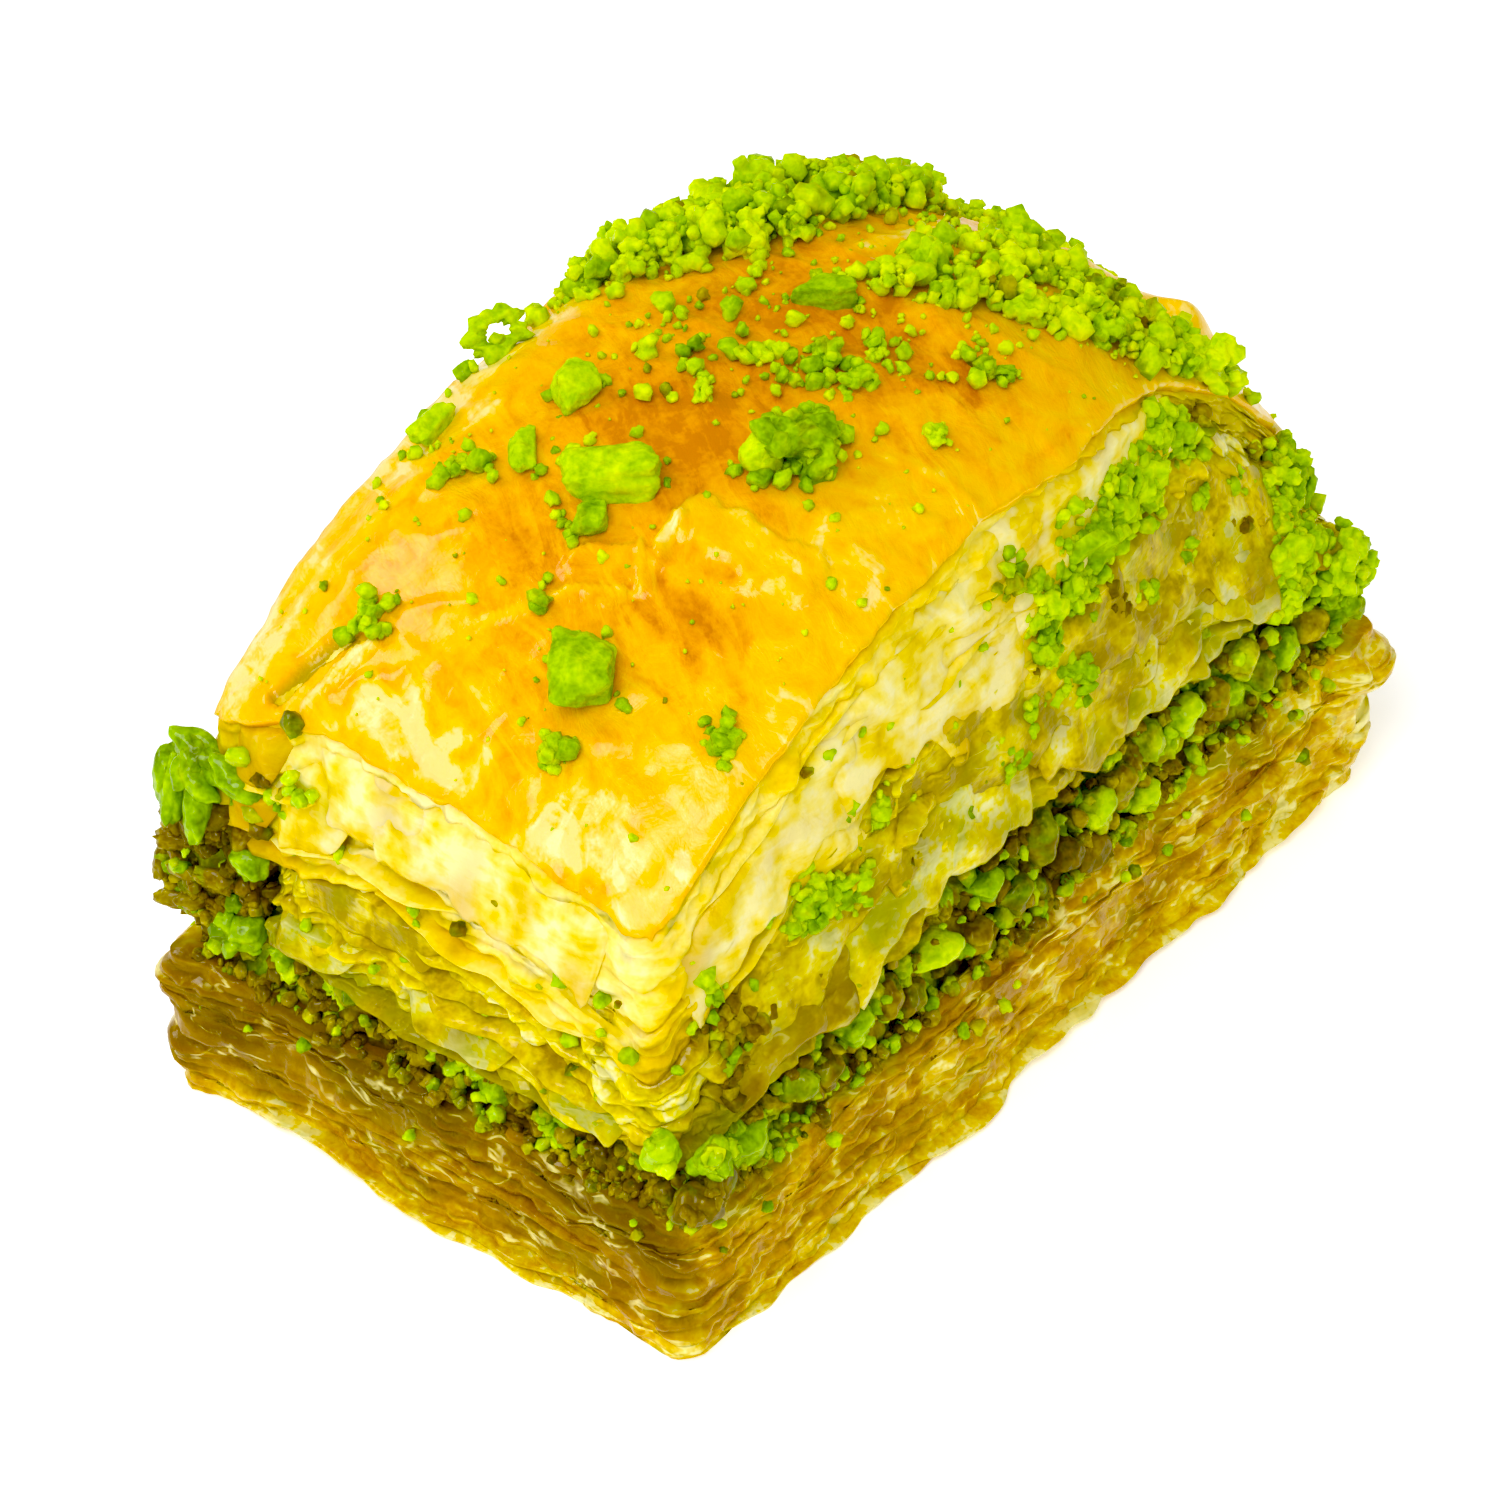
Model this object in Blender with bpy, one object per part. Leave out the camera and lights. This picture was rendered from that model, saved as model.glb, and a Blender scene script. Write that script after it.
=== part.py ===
"""One rectangular piece of pistachio baklava, as cut from a tray.

From the bottom up it has a syrup-soaked slab of thin pastry leaves, a band of crushed
pistachios, a stack of soaked leaves, and a puffed stack of pale leaves under a golden crust.
+X runs along the length, +Y along the width, and the origin is under the middle of the base.
"""

import math
import random

import bmesh
import bpy
from mathutils import Vector, noise

MM = 0.001

# The piece as it was cut
LENGTH = 52.0 * MM
WIDTH = 30.7 * MM
CLEARANCE = 0.45 * MM

# The soaked base slab, a little thicker at the far end
BASE_HEIGHT = 7.2 * MM
BASE_RISE = 1.8 * MM

# The top of the nut band, at the near end and from the middle on, along each long side
NUT_TOP_RIGHT = (9.8 * MM, 14.3 * MM)
NUT_TOP_LEFT = (10.6 * MM, 13.8 * MM)
NUT_TOP_RUN = 24.0 * MM

# The arch of the crust along the length, and its fall towards each long side
PEAK_X = 2.0 * MM
PEAK_HEIGHT = 32.3 * MM
NEAR_DROP, NEAR_SPAN, NEAR_POWER = 9.6 * MM, 27.0 * MM, 2.3
FAR_DROP, FAR_SPAN, FAR_POWER = 11.0 * MM, 23.0 * MM, 2.5
RIGHT_DROP, RIGHT_DROP_FAR, RIGHT_POWER = 1.7 * MM, 2.0 * MM, 2.4
LEFT_SHOULDER, LEFT_FALL = 1.5 * MM, 2.6 * MM
CROSS_TILT = 0.055

# The puffed top stack, which thins out towards the far end and is nowhere thinner than its rim
PUFF_THICKNESS = 7.0 * MM
PUFF_THIN_END = 1.6 * MM
RIM_THICKNESS = 1.1 * MM

# How far each stack stands back from the cut at (near, far, right, left) in mm, at its foot and head
BASE_INSETS = ((0.1, 0.3, 0.2, 0.3), (0.0, -0.7, 0.2, -0.6))
NUT_INSETS = ((0.9, 0.9, 0.9, 1.0), (1.1, 1.0, 1.0, 1.2))
MIDDLE_INSETS = ((0.7, 0.5, 0.8, 1.2), (1.1, 0.8, 2.3, 1.5))
PUFF_INSETS = ((0.9, 0.7, 2.5, 1.5), (1.5, 0.7, 3.2, 2.2))

# The right wall leans back towards the far end, where the crust stops short of the cut
LEAN_DEPTH = 2.0 * MM
LEAN_START, LEAN_RUN = 3.0 * MM, 12.0 * MM
UPRIGHT, MIDDLE_LEAN, PUFF_LEAN = (0.0, 0.0), (0.0, 1.0), (1.0, 1.0)

# The spilled nuts push the leaves in at the near left corner, up to the height where it fades out
SPILL_CORNER = (-LENGTH / 2, WIDTH / 2)
SPILL_REACH = 8.0 * MM
SPILL_DEPTH = 4.6 * MM
SPILL_FADE = (17.5 * MM, 21.5 * MM)

# The lattice that each stack is shaped from, and its raggedness
CELLS_X, CELLS_Y = 20, 12
GROOVE_DEPTH = 0.45 * MM
LEDGE_DEPTH = 0.2 * MM
EDGE_WANDER, EDGE_WANDER_SIZE = 0.75 * MM, 4.0 * MM
SEAM_WANDER, SEAM_WANDER_SIZE = 0.4 * MM, 6.0 * MM
BLISTER, BLISTER_SIZE = 0.35 * MM, 5.0 * MM

# Scattered crumbs, and those that the right wall caught as (x, share of the height, size)
CRUMB_SEED, CRUMB_COUNT, CRUMB_SPACING = 12, 70, 1.7 * MM
CRUMB_SIZES = (1.2 * MM, 2.2 * MM)
WALL_CRUMBS = (
    (-19.0, 0.40, 2.2),
    (-12.2, 0.42, 2.2),
    (-9.6, 0.62, 1.6),
    (-3.8, 0.42, 1.9),
    (1.0, 0.45, 2.2),
    (6.6, 0.62, 3.0),
    (8.4, 0.35, 2.0),
    (12.0, 0.66, 2.6),
    (16.4, 0.60, 2.8),
    (20.6, 0.58, 2.9),
    (23.4, 0.50, 2.6),
)

# Large pistachio pieces on the crust, as (x, y, length, width, height) in mm and a turn in degrees
CRUST_CHUNKS = (
    (-10.1, 1.8, 4.6, 3.0, 2.6, -52),
    (-7.0, 6.3, 2.6, 2.0, 2.0, 60),
    (-12.6, 0.6, 1.9, 1.7, 1.5, 10),
    (-17.9, -3.0, 3.6, 3.0, 2.6, 35),
    (-5.0, -3.6, 3.9, 3.2, 2.6, 20),
    (-1.9, -4.2, 2.4, 1.8, 2.0, 75),
    (-19.6, 7.7, 2.5, 2.0, 1.4, -20),
    (-11.1, 6.0, 2.9, 1.4, 1.2, 15),
    (4.3, 1.4, 3.0, 1.7, 1.6, -40),
    (2.4, -3.1, 1.7, 1.3, 1.0, 30),
    (-17.0, -10.0, 1.5, 1.2, 1.0, 0),
    (-4.3, 11.8, 3.2, 1.8, 2.2, 10),
    (-10.2, 12.2, 2.4, 1.4, 1.6, 0),
)

# The nuts spilled at the near left corner and squeezed out at the near right one, as (x, y, z,
# length, width, height) in mm
SPILLED_NUTS = (
    (-24.9, 13.0, 17.8, 4.0, 4.4, 3.6),
    (-25.3, 10.7, 17.1, 2.4, 2.6, 2.4),
    (-24.6, 13.6, 13.0, 5.0, 5.6, 7.4),
    (-25.4, 10.9, 10.6, 2.8, 3.2, 3.2),
    (-23.9, 15.8, 10.6, 3.8, 2.8, 3.6),
    (-24.0, -14.9, 8.8, 3.0, 2.0, 1.8),
)
NUT_PITCH = 3.7 * MM
NUT_LENGTHS = (2.4 * MM, 3.4 * MM)
NUT_SEED = 5


def smooth(t):
    """A rise from 0 to 1 with level ends."""
    t = min(1.0, max(0.0, t))
    return t * t * (3 - 2 * t)


def mix(a, b, t):
    return a + (b - a) * t


def wander(x, y, z, size, seed):
    """A smooth random value from about -1 to 1 that changes over the distance size."""
    return noise.noise(Vector((x, y, z)) / size + Vector((7.3, 3.1, 5.7)) * seed)


def seam_wander(x, y, seed):
    return SEAM_WANDER * wander(x, y, 0.0, SEAM_WANDER_SIZE, seed)


def crust_height(x, y):
    """The arched and crowned top of the crust."""
    near = NEAR_DROP * (max(PEAK_X - x, 0.0) / NEAR_SPAN) ** NEAR_POWER
    far = FAR_DROP * (max(x - PEAK_X, 0.0) / FAR_SPAN) ** FAR_POWER
    across = max(MM - y, 0.0) / (13 * MM)
    right = (RIGHT_DROP + RIGHT_DROP_FAR * smooth(x / (16 * MM))) * across**RIGHT_POWER
    left = LEFT_SHOULDER * smooth((y - 3 * MM) / (8 * MM)) + LEFT_FALL * smooth((y - 9 * MM) / (5.6 * MM))
    return PEAK_HEIGHT - near - far - right - left + CROSS_TILT * (y + 12 * MM)


def blistered_crust(x, y):
    return crust_height(x, y) + BLISTER * wander(x, y, 0.0, BLISTER_SIZE, 3)


def seam_height(x, y):
    """The seam between the middle stack and the puffed stack, level beyond the rim of the crust."""
    inner_x = max(x, -25 * MM)
    inner_y = max(y, -12 * MM)
    thins = smooth((x - 2 * MM) / (14 * MM))
    thickness = mix(PUFF_THICKNESS, PUFF_THIN_END, thins)
    level = crust_height(inner_x, min(inner_y, 9 * MM)) - thickness + (1 - thins) * seam_wander(x, y, 8)
    return min(level, crust_height(inner_x, inner_y) - RIM_THICKNESS)


def nut_top(x, y):
    along = smooth((x + LENGTH / 2) / NUT_TOP_RUN)
    right = mix(*NUT_TOP_RIGHT, along)
    left = mix(*NUT_TOP_LEFT, along)
    return mix(right, left, smooth((y + WIDTH / 2) / (24 * MM))) + seam_wander(x, y, 9)


def base_top(x, y):
    return BASE_HEIGHT + BASE_RISE * (x + LENGTH / 2) / LENGTH + seam_wander(x, y, 10)


def floor_level(x, y):
    return 0.0


def above(surface):
    """The surface raised by the clearance between two pieces."""
    return lambda x, y: surface(x, y) + CLEARANCE


def right_lean(lean, rises, x):
    """How far the right wall stands back towards the far end."""
    return LEAN_DEPTH * mix(*lean, rises) * smooth((x - LEAN_START) / LEAN_RUN)


def plan_point(insets, lean, u, v, rises):
    """The plan position of a lattice point: u and v run from -1 to 1, rises from 0 to 1."""
    near, far, right, left = (mix(foot, head, rises) * MM for foot, head in zip(*insets))
    x = mix(-LENGTH / 2 + near, LENGTH / 2 - far, (u + 1) / 2)
    right += right_lean(lean, rises, x)
    y = mix(-WIDTH / 2 + right, WIDTH / 2 - left, (v + 1) / 2)
    return x, y


def lattice_box(cells):
    """A closed cube from -1 to 1 that is cut into cells along each axis."""
    body = bmesh.new()
    bmesh.ops.create_cube(body, size=2.0)
    for axis, count in enumerate(cells):
        along = []
        for edge in body.edges:
            direction = edge.verts[1].co - edge.verts[0].co
            if abs(direction[axis]) > 0.5 * direction.length:
                along.append(edge)
        bmesh.ops.subdivide_edges(body, edges=along, cuts=count - 1, use_grid_fill=True)
    return body


def edge_relief(level, x, y, seed):
    """How far a group of leaves stands out of the cut: odd levels are grooves, even ones are ledges."""
    step = -GROOVE_DEPTH if level % 2 else LEDGE_DEPTH
    return step + EDGE_WANDER * wander(x, y, level * 3 * MM, EDGE_WANDER_SIZE, seed)


def leaf_stack(name, low, high, insets, lean, leaves, seed, material):
    """A solid stack of leaves between two surfaces, with a ragged ledge for each group of leaves."""
    levels = 2 * leaves
    body = lattice_box((CELLS_X, CELLS_Y, levels))
    for vertex in body.verts:
        u, v, w = vertex.co
        rises = (w + 1) / 2
        x, y = plan_point(insets, lean, u, v, rises)
        relief = edge_relief(round(rises * levels), x, y, seed)
        if abs(u) > 0.999:
            x += math.copysign(relief, u)
        if abs(v) > 0.999:
            y += math.copysign(relief, v)
        vertex.co = (x, y, mix(low(x, y), high(x, y), rises))
    bmesh.ops.recalc_face_normals(body, faces=body.faces)
    mesh = bpy.data.meshes.new(name)
    body.to_mesh(mesh)
    body.free()
    mesh.materials.append(material)
    piece = bpy.data.objects.new(name, mesh)
    baklava.objects.link(piece)
    return piece


def push_corner_in(piece):
    """Moves the leaves of the near left corner inwards, to where the spilled nuts have pushed them."""
    for vertex in piece.data.vertices:
        distance = math.hypot(vertex.co.x - SPILL_CORNER[0], vertex.co.y - SPILL_CORNER[1])
        fade = 1 - smooth((vertex.co.z - SPILL_FADE[0]) / (SPILL_FADE[1] - SPILL_FADE[0]))
        push = SPILL_DEPTH * smooth(1 - distance / SPILL_REACH) * fade / math.sqrt(2)
        vertex.co.x += push
        vertex.co.y -= push


def nut_lump(centre, size, turn, seed, detail=1):
    """A rough lump of pistachio, shaped from an icosphere and put with the loose pieces."""
    bpy.ops.mesh.primitive_ico_sphere_add(subdivisions=detail, radius=0.5)
    lump = bpy.context.object
    for vertex in lump.data.vertices:
        rough = 1 + 0.3 * noise.noise(vertex.co * 3.0 + Vector((seed, 0.7 * seed, 0)))
        vertex.co = Vector(a * b for a, b in zip(vertex.co, size)) * rough
    lump.rotation_euler = turn
    lump.location = centre
    for collection in list(lump.users_collection):
        collection.objects.unlink(lump)
    loose_pieces.objects.link(lump)


def fuse_loose_pieces(piece):
    """Joins all loose pieces to one solid by a Boolean union and removes them."""
    union = piece.modifiers.new("Fused pieces", "BOOLEAN")
    union.operation = "UNION"
    union.operand_type = "COLLECTION"
    union.collection = loose_pieces
    union.solver = "EXACT"
    bpy.context.view_layer.objects.active = piece
    bpy.ops.object.modifier_apply(modifier=union.name)
    for lump in list(loose_pieces.objects):
        bpy.data.objects.remove(lump)


def crumb_density(x, y):
    """The crumbs drift along the far left edge and across the far end, with a few scattered between."""
    x, y = x / MM, y / MM
    left_drift = smooth((y - 8.8 + 4.4 * smooth((x + 1) / 8)) / 1.5) * smooth((x + 2) / 2)
    right_drift = smooth((x - 6.5 + 0.95 * (y + 3)) / 2) * smooth((1.5 - y) / 2) * smooth((x - 5) / 2)
    far_end = smooth((x - 19) / 2)
    middle = 0.16 * smooth((x + 8) / 3) * smooth((9 - abs(y)) / 3)
    return max(left_drift, right_drift, far_end, middle, 0.015)


def add_crust_crumbs():
    """The large pieces first, then smaller crumbs drawn by the density and kept apart."""
    placed = []
    for index, (x, y, length, width, height, turn) in enumerate(CRUST_CHUNKS):
        x, y = x * MM, y * MM
        size = (length * MM, width * MM, height * MM)
        centre = (x, y, blistered_crust(x, y) + 0.3 * size[2])
        nut_lump(centre, size, (0, 0, math.radians(turn)), index, detail=2 if length > 2.5 else 1)
        placed.append((x, y, size[0] / 2))
    draw = random.Random(CRUMB_SEED)
    target = len(placed) + CRUMB_COUNT
    while len(placed) < target:
        x = draw.uniform(-24.0, 24.6) * MM
        y = draw.uniform(-11.2, 12.4) * MM
        chance, size = draw.random(), draw.uniform(*CRUMB_SIZES)
        turn = [draw.uniform(0, math.pi) for _ in range(3)]
        rim = -WIDTH / 2 + 4.2 * MM + right_lean(PUFF_LEAN, 1.0, x)
        crowded = any(math.hypot(x - a, y - b) < reach + CRUMB_SPACING / 2 for a, b, reach in placed)
        if chance > crumb_density(x, y) or crowded or y < rim:
            continue
        centre = (x, y, blistered_crust(x, y) + 0.22 * size)
        nut_lump(centre, (size, size, 0.85 * size), turn, len(placed))
        placed.append((x, y, CRUMB_SPACING / 2))


def add_wall_crumbs():
    """Crumbs caught on the leaning right wall of the middle stack."""
    for index, (x, share, size) in enumerate(WALL_CRUMBS):
        x, size = x * MM, size * MM
        stand_back = mix(MIDDLE_INSETS[0][2], MIDDLE_INSETS[1][2], share) * MM
        y = -WIDTH / 2 + stand_back + right_lean(MIDDLE_LEAN, share, x)
        z = mix(nut_top(x, y), seam_height(x, y), share)
        nut_lump((x, y - 0.1 * size, z), (1.2 * size, 0.9 * size, size), (0, 0, 0.4 * index), index)


def add_band_nuts():
    """Nut pieces that stand out of the band on all sides, and the spilled ones."""
    draw = random.Random(NUT_SEED)
    half_x, half_y = LENGTH / 2 - MM, WIDTH / 2 - MM
    corners = ((-half_x, -half_y), (half_x, -half_y), (half_x, half_y), (-half_x, half_y))
    for start, end in zip(corners, corners[1:] + corners[:1]):
        count = round(math.dist(start, end) / NUT_PITCH)
        for index in range(count):
            share = (index + draw.uniform(0.35, 0.65)) / count
            x, y = mix(start[0], end[0], share), mix(start[1], end[1], share)
            low, high = base_top(x, y) + 1.5 * CLEARANCE, nut_top(x, y) - 0.5 * CLEARANCE
            height = (high - low) * draw.uniform(0.62, 0.78)
            z = mix(low + 0.58 * height, high - 0.58 * height, draw.random())
            length = draw.uniform(*NUT_LENGTHS)
            nut_lump((x, y, z), (length, 0.85 * length, height), (0, 0, draw.uniform(0, math.pi)), index)
    for index, (x, y, z, *size) in enumerate(SPILLED_NUTS):
        centre = (x * MM, y * MM, z * MM)
        nut_lump(centre, [side * MM for side in size], (0, 0, 0.5 * index), index, detail=2)


def pastry(name, colour, roughness):
    """A plain surface with the colour and gloss of one layer."""
    material = bpy.data.materials.new(name)
    material.use_nodes = True
    shader = material.node_tree.nodes["Principled BSDF"]
    shader.inputs["Base Color"].default_value = (*colour, 1.0)
    shader.inputs["Roughness"].default_value = roughness
    return material


for leftover in list(bpy.data.objects):
    bpy.data.objects.remove(leftover)
baklava = bpy.data.collections.new("baklava")
loose_pieces = bpy.data.collections.new("loose pieces")
for collection in (baklava, loose_pieces):
    bpy.context.scene.collection.children.link(collection)

soaked = pastry("soaked pastry", (0.55, 0.32, 0.02), 0.3)
crushed_nut = pastry("crushed pistachio", (0.30, 0.33, 0.03), 0.5)
syrupy = pastry("syrupy pastry", (0.72, 0.52, 0.05), 0.35)
golden = pastry("golden crust", (0.86, 0.50, 0.03), 0.3)

leaf_stack("base_pastry", floor_level, base_top, BASE_INSETS, UPRIGHT, 3, 21, soaked)

nut_band = leaf_stack("pistachio_filling", above(base_top), nut_top, NUT_INSETS, UPRIGHT, 1, 22, crushed_nut)
add_band_nuts()
fuse_loose_pieces(nut_band)

middle = leaf_stack("middle_pastry", above(nut_top), seam_height, MIDDLE_INSETS, MIDDLE_LEAN, 3, 23, syrupy)
push_corner_in(middle)
add_wall_crumbs()
fuse_loose_pieces(middle)

crust = leaf_stack("top_pastry", above(seam_height), blistered_crust, PUFF_INSETS, PUFF_LEAN, 3, 24, golden)
push_corner_in(crust)
add_crust_crumbs()
fuse_loose_pieces(crust)
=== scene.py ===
# %% [markdown]
# # A piece of pistachio baklava
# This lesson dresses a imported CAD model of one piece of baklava. From the bottom up the real piece has
# a slab of pastry leaves soaked in syrup, a band of crushed pistachios, more soaked leaves, a puffed
# block of pale leaves, and one baked golden leaf on top, strewn with green crumbs.
# The frame comes first. Every size is in millimetres here and is turned to metres in one place.

# %% The frame
import math
import random

import bmesh
import bpy
from mathutils import Matrix, Vector, noise


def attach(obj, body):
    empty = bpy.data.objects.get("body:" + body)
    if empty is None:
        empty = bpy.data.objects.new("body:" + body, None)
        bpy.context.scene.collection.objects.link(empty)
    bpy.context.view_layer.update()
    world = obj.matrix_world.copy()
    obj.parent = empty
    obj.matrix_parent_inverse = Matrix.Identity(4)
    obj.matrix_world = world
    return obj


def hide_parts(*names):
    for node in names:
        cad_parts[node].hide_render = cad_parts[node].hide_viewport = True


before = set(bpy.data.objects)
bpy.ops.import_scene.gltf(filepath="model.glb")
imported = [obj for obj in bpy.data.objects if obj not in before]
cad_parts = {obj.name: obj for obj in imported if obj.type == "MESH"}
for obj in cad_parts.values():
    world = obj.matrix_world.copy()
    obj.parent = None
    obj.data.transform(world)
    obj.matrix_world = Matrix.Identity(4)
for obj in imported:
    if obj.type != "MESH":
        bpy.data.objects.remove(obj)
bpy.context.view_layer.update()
print("nodes:", sorted(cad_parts))

# %% [markdown]
# ## The camera
# The photograph looks at a corner of the piece from above, with a long lens. The angles below came from
# fitting the four base corners, so the camera is set first and then left alone. Azimuth 0 looks along +Y.

# %% Camera
MM = 0.001
VIEW_AZIMUTH, VIEW_ELEVATION = -51.32, 39.69
VIEW_DISTANCE = 272.75 * MM
VIEW_TARGET = Vector((-5.49, -2.26, 15.0)) * MM
LENS, SENSOR = 144.0, 36.0

azimuth, elevation = math.radians(VIEW_AZIMUTH), math.radians(VIEW_ELEVATION)
towards_eye = Vector((math.sin(azimuth) * math.cos(elevation), -math.cos(azimuth) * math.cos(elevation),
                      math.sin(elevation)))
bpy.ops.object.camera_add(location=VIEW_TARGET + towards_eye * VIEW_DISTANCE,
                          rotation=towards_eye.to_track_quat("Z", "Y").to_euler())
camera = bpy.context.object
camera.data.lens = LENS
camera.data.sensor_width = SENSOR
bpy.context.scene.camera = camera
print("camera at", [round(value, 3) for value in camera.location])

# %% [markdown]
# ## The surfaces that everything follows
# These are the same named sizes that the CAD source uses: the arch of the crust, the seam under the
# puffed block, the top of the nut band and the top of the base slab. Each is a height over (x, y), so
# whatever is laid on one sits on the solid beneath it.

# %% Sizes and surfaces
LENGTH, WIDTH = 52.0, 30.7
BASE_HEIGHT, BASE_RISE = 7.2, 1.8
NUT_TOP_RIGHT, NUT_TOP_LEFT, NUT_TOP_RUN = (9.8, 14.3), (10.6, 13.8), 24.0
PEAK_X, PEAK_HEIGHT = 2.0, 32.3
NEAR_DROP, NEAR_SPAN, NEAR_POWER = 9.6, 27.0, 2.3
FAR_DROP, FAR_SPAN, FAR_POWER = 11.0, 23.0, 2.5
RIGHT_DROP, RIGHT_DROP_FAR, RIGHT_POWER = 1.7, 2.0, 2.4
LEFT_SHOULDER, LEFT_FALL = 1.5, 2.6
CROSS_TILT = 0.055
PUFF_THICKNESS, PUFF_THIN_END, RIM_THICKNESS = 7.0, 1.6, 1.1
LEAN_DEPTH, LEAN_START, LEAN_RUN = 2.0, 3.0, 12.0
SPILL_CORNER = (-LENGTH / 2, WIDTH / 2)
SPILL_REACH, SPILL_DEPTH, SPILL_FADE = 8.0, 4.6, (17.5, 21.5)
SEAM_WANDER, SEAM_WANDER_SIZE = 0.4, 6.0
BLISTER, BLISTER_SIZE = 0.35, 5.0


def smooth(t):
    """A rise from 0 to 1 with level ends."""
    t = min(1.0, max(0.0, t))
    return t * t * (3 - 2 * t)


def mix(a, b, t):
    return a + (b - a) * t


def wander(x, y, z, size, seed):
    """Smooth noise from about -1 to 1 that changes over the distance size."""
    return noise.noise(Vector((x, y, z)) / size + Vector((7.3, 3.1, 5.7)) * seed)


def crust_height(x, y):
    near = NEAR_DROP * (max(PEAK_X - x, 0.0) / NEAR_SPAN) ** NEAR_POWER
    far = FAR_DROP * (max(x - PEAK_X, 0.0) / FAR_SPAN) ** FAR_POWER
    across = max(1 - y, 0.0) / 13
    right = (RIGHT_DROP + RIGHT_DROP_FAR * smooth(x / 16)) * across**RIGHT_POWER
    left = LEFT_SHOULDER * smooth((y - 3) / 8) + LEFT_FALL * smooth((y - 9) / 5.6)
    return PEAK_HEIGHT - near - far - right - left + CROSS_TILT * (y + 12)


def blistered_crust(x, y):
    return crust_height(x, y) + BLISTER * wander(x, y, 0.0, BLISTER_SIZE, 3)


def seam_height(x, y):
    inner_x, inner_y = max(x, -25), max(y, -12)
    thins = smooth((x - 2) / 14)
    thickness = mix(PUFF_THICKNESS, PUFF_THIN_END, thins)
    calm = (1 - thins) * SEAM_WANDER * wander(x, y, 0.0, SEAM_WANDER_SIZE, 8)
    level = crust_height(inner_x, min(inner_y, 9)) - thickness + calm
    return min(level, crust_height(inner_x, inner_y) - RIM_THICKNESS)


def nut_top(x, y):
    along = smooth((x + LENGTH / 2) / NUT_TOP_RUN)
    level = mix(mix(*NUT_TOP_RIGHT, along), mix(*NUT_TOP_LEFT, along), smooth((y + WIDTH / 2) / 24))
    return level + SEAM_WANDER * wander(x, y, 0.0, SEAM_WANDER_SIZE, 9)


def base_top(x, y):
    level = BASE_HEIGHT + BASE_RISE * (x + LENGTH / 2) / LENGTH
    return level + SEAM_WANDER * wander(x, y, 0.0, SEAM_WANDER_SIZE, 10)


def floor_level(x, y):
    return 0.0


print("crust peak:", round(crust_height(PEAK_X, 6), 1), "mm")

# %% [markdown]
# ## Walking round the cut
# Every stack of leaves has the same plan: a rectangle with slightly worn corners. A point on its edge
# is described by how far round it lies, and it knows which way is out. Each stack stands back from the
# cut by its own amounts at (near, far, right, left), at its foot and at its head, as in the CAD.

# %% The outline of the piece
CORNER_RADIUS = 1.3
UPRIGHT, MIDDLE_LEAN, PUFF_LEAN = (0.0, 0.0), (0.0, 1.0), (1.0, 1.0)
BASE_INSETS = ((0.1, 0.3, 0.2, 0.3), (0.0, -0.7, 0.2, -0.6))
NUT_INSETS = ((0.9, 0.9, 0.9, 1.0), (1.1, 1.0, 1.0, 1.2))
MIDDLE_INSETS = ((0.7, 0.5, 0.8, 1.2), (1.1, 0.8, 2.3, 1.5))
PUFF_INSETS = ((0.9, 0.7, 2.5, 1.5), (1.5, 0.7, 3.2, 2.2))


def outline_point(share):
    """The point at a share of the way round, from the near right corner along the right side.

    Gives u and v from -1 to 1 and the outward normal.
    """
    half_x, half_y, r = LENGTH / 2, WIDTH / 2, CORNER_RADIUS
    arc = math.pi * r / 2
    run_x, run_y = LENGTH - 2 * r, WIDTH - 2 * r
    legs = ((run_x, (-half_x + r, -half_y), (1, 0), 0), (run_y, (half_x, -half_y + r), (0, 1), 1),
            (run_x, (half_x - r, half_y), (-1, 0), 2), (run_y, (-half_x, half_y - r), (0, -1), 3))
    distance = (share % 1.0) * (2 * run_x + 2 * run_y + 4 * arc)
    for run, start, way, side in legs:
        normal_angle = side * math.pi / 2 - math.pi / 2
        if distance <= run:
            x, y = start[0] + way[0] * distance, start[1] + way[1] * distance
            return x / half_x, y / half_y, math.cos(normal_angle), math.sin(normal_angle)
        distance -= run
        if distance <= arc:
            turn = normal_angle + distance / r
            end = (start[0] + way[0] * run, start[1] + way[1] * run)
            centre = (end[0] - r * math.cos(normal_angle), end[1] - r * math.sin(normal_angle))
            x, y = centre[0] + r * math.cos(turn), centre[1] + r * math.sin(turn)
            return x / half_x, y / half_y, math.cos(turn), math.sin(turn)
        distance -= arc
    return -1 + r / half_x, -1.0, 0.0, -1.0


def plan_point(insets, lean, u, v, rises):
    near, far, right, left = (mix(foot, head, rises) for foot, head in zip(*insets))
    x = mix(-LENGTH / 2 + near, LENGTH / 2 - far, (u + 1) / 2)
    right += LEAN_DEPTH * mix(*lean, rises) * smooth((x - LEAN_START) / LEAN_RUN)
    y = mix(-WIDTH / 2 + right, WIDTH / 2 - left, (v + 1) / 2)
    return x, y


def pushed_in(x, y, z):
    """Moves a point of the near left corner inwards, as the spilled nuts have pushed the leaves."""
    distance = math.hypot(x - SPILL_CORNER[0], y - SPILL_CORNER[1])
    fade = 1 - smooth((z - SPILL_FADE[0]) / (SPILL_FADE[1] - SPILL_FADE[0]))
    push = SPILL_DEPTH * smooth(1 - distance / SPILL_REACH) * fade / math.sqrt(2)
    return x + push, y - push


print("right side starts at", [round(value, 2) for value in outline_point(0.0)])
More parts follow.
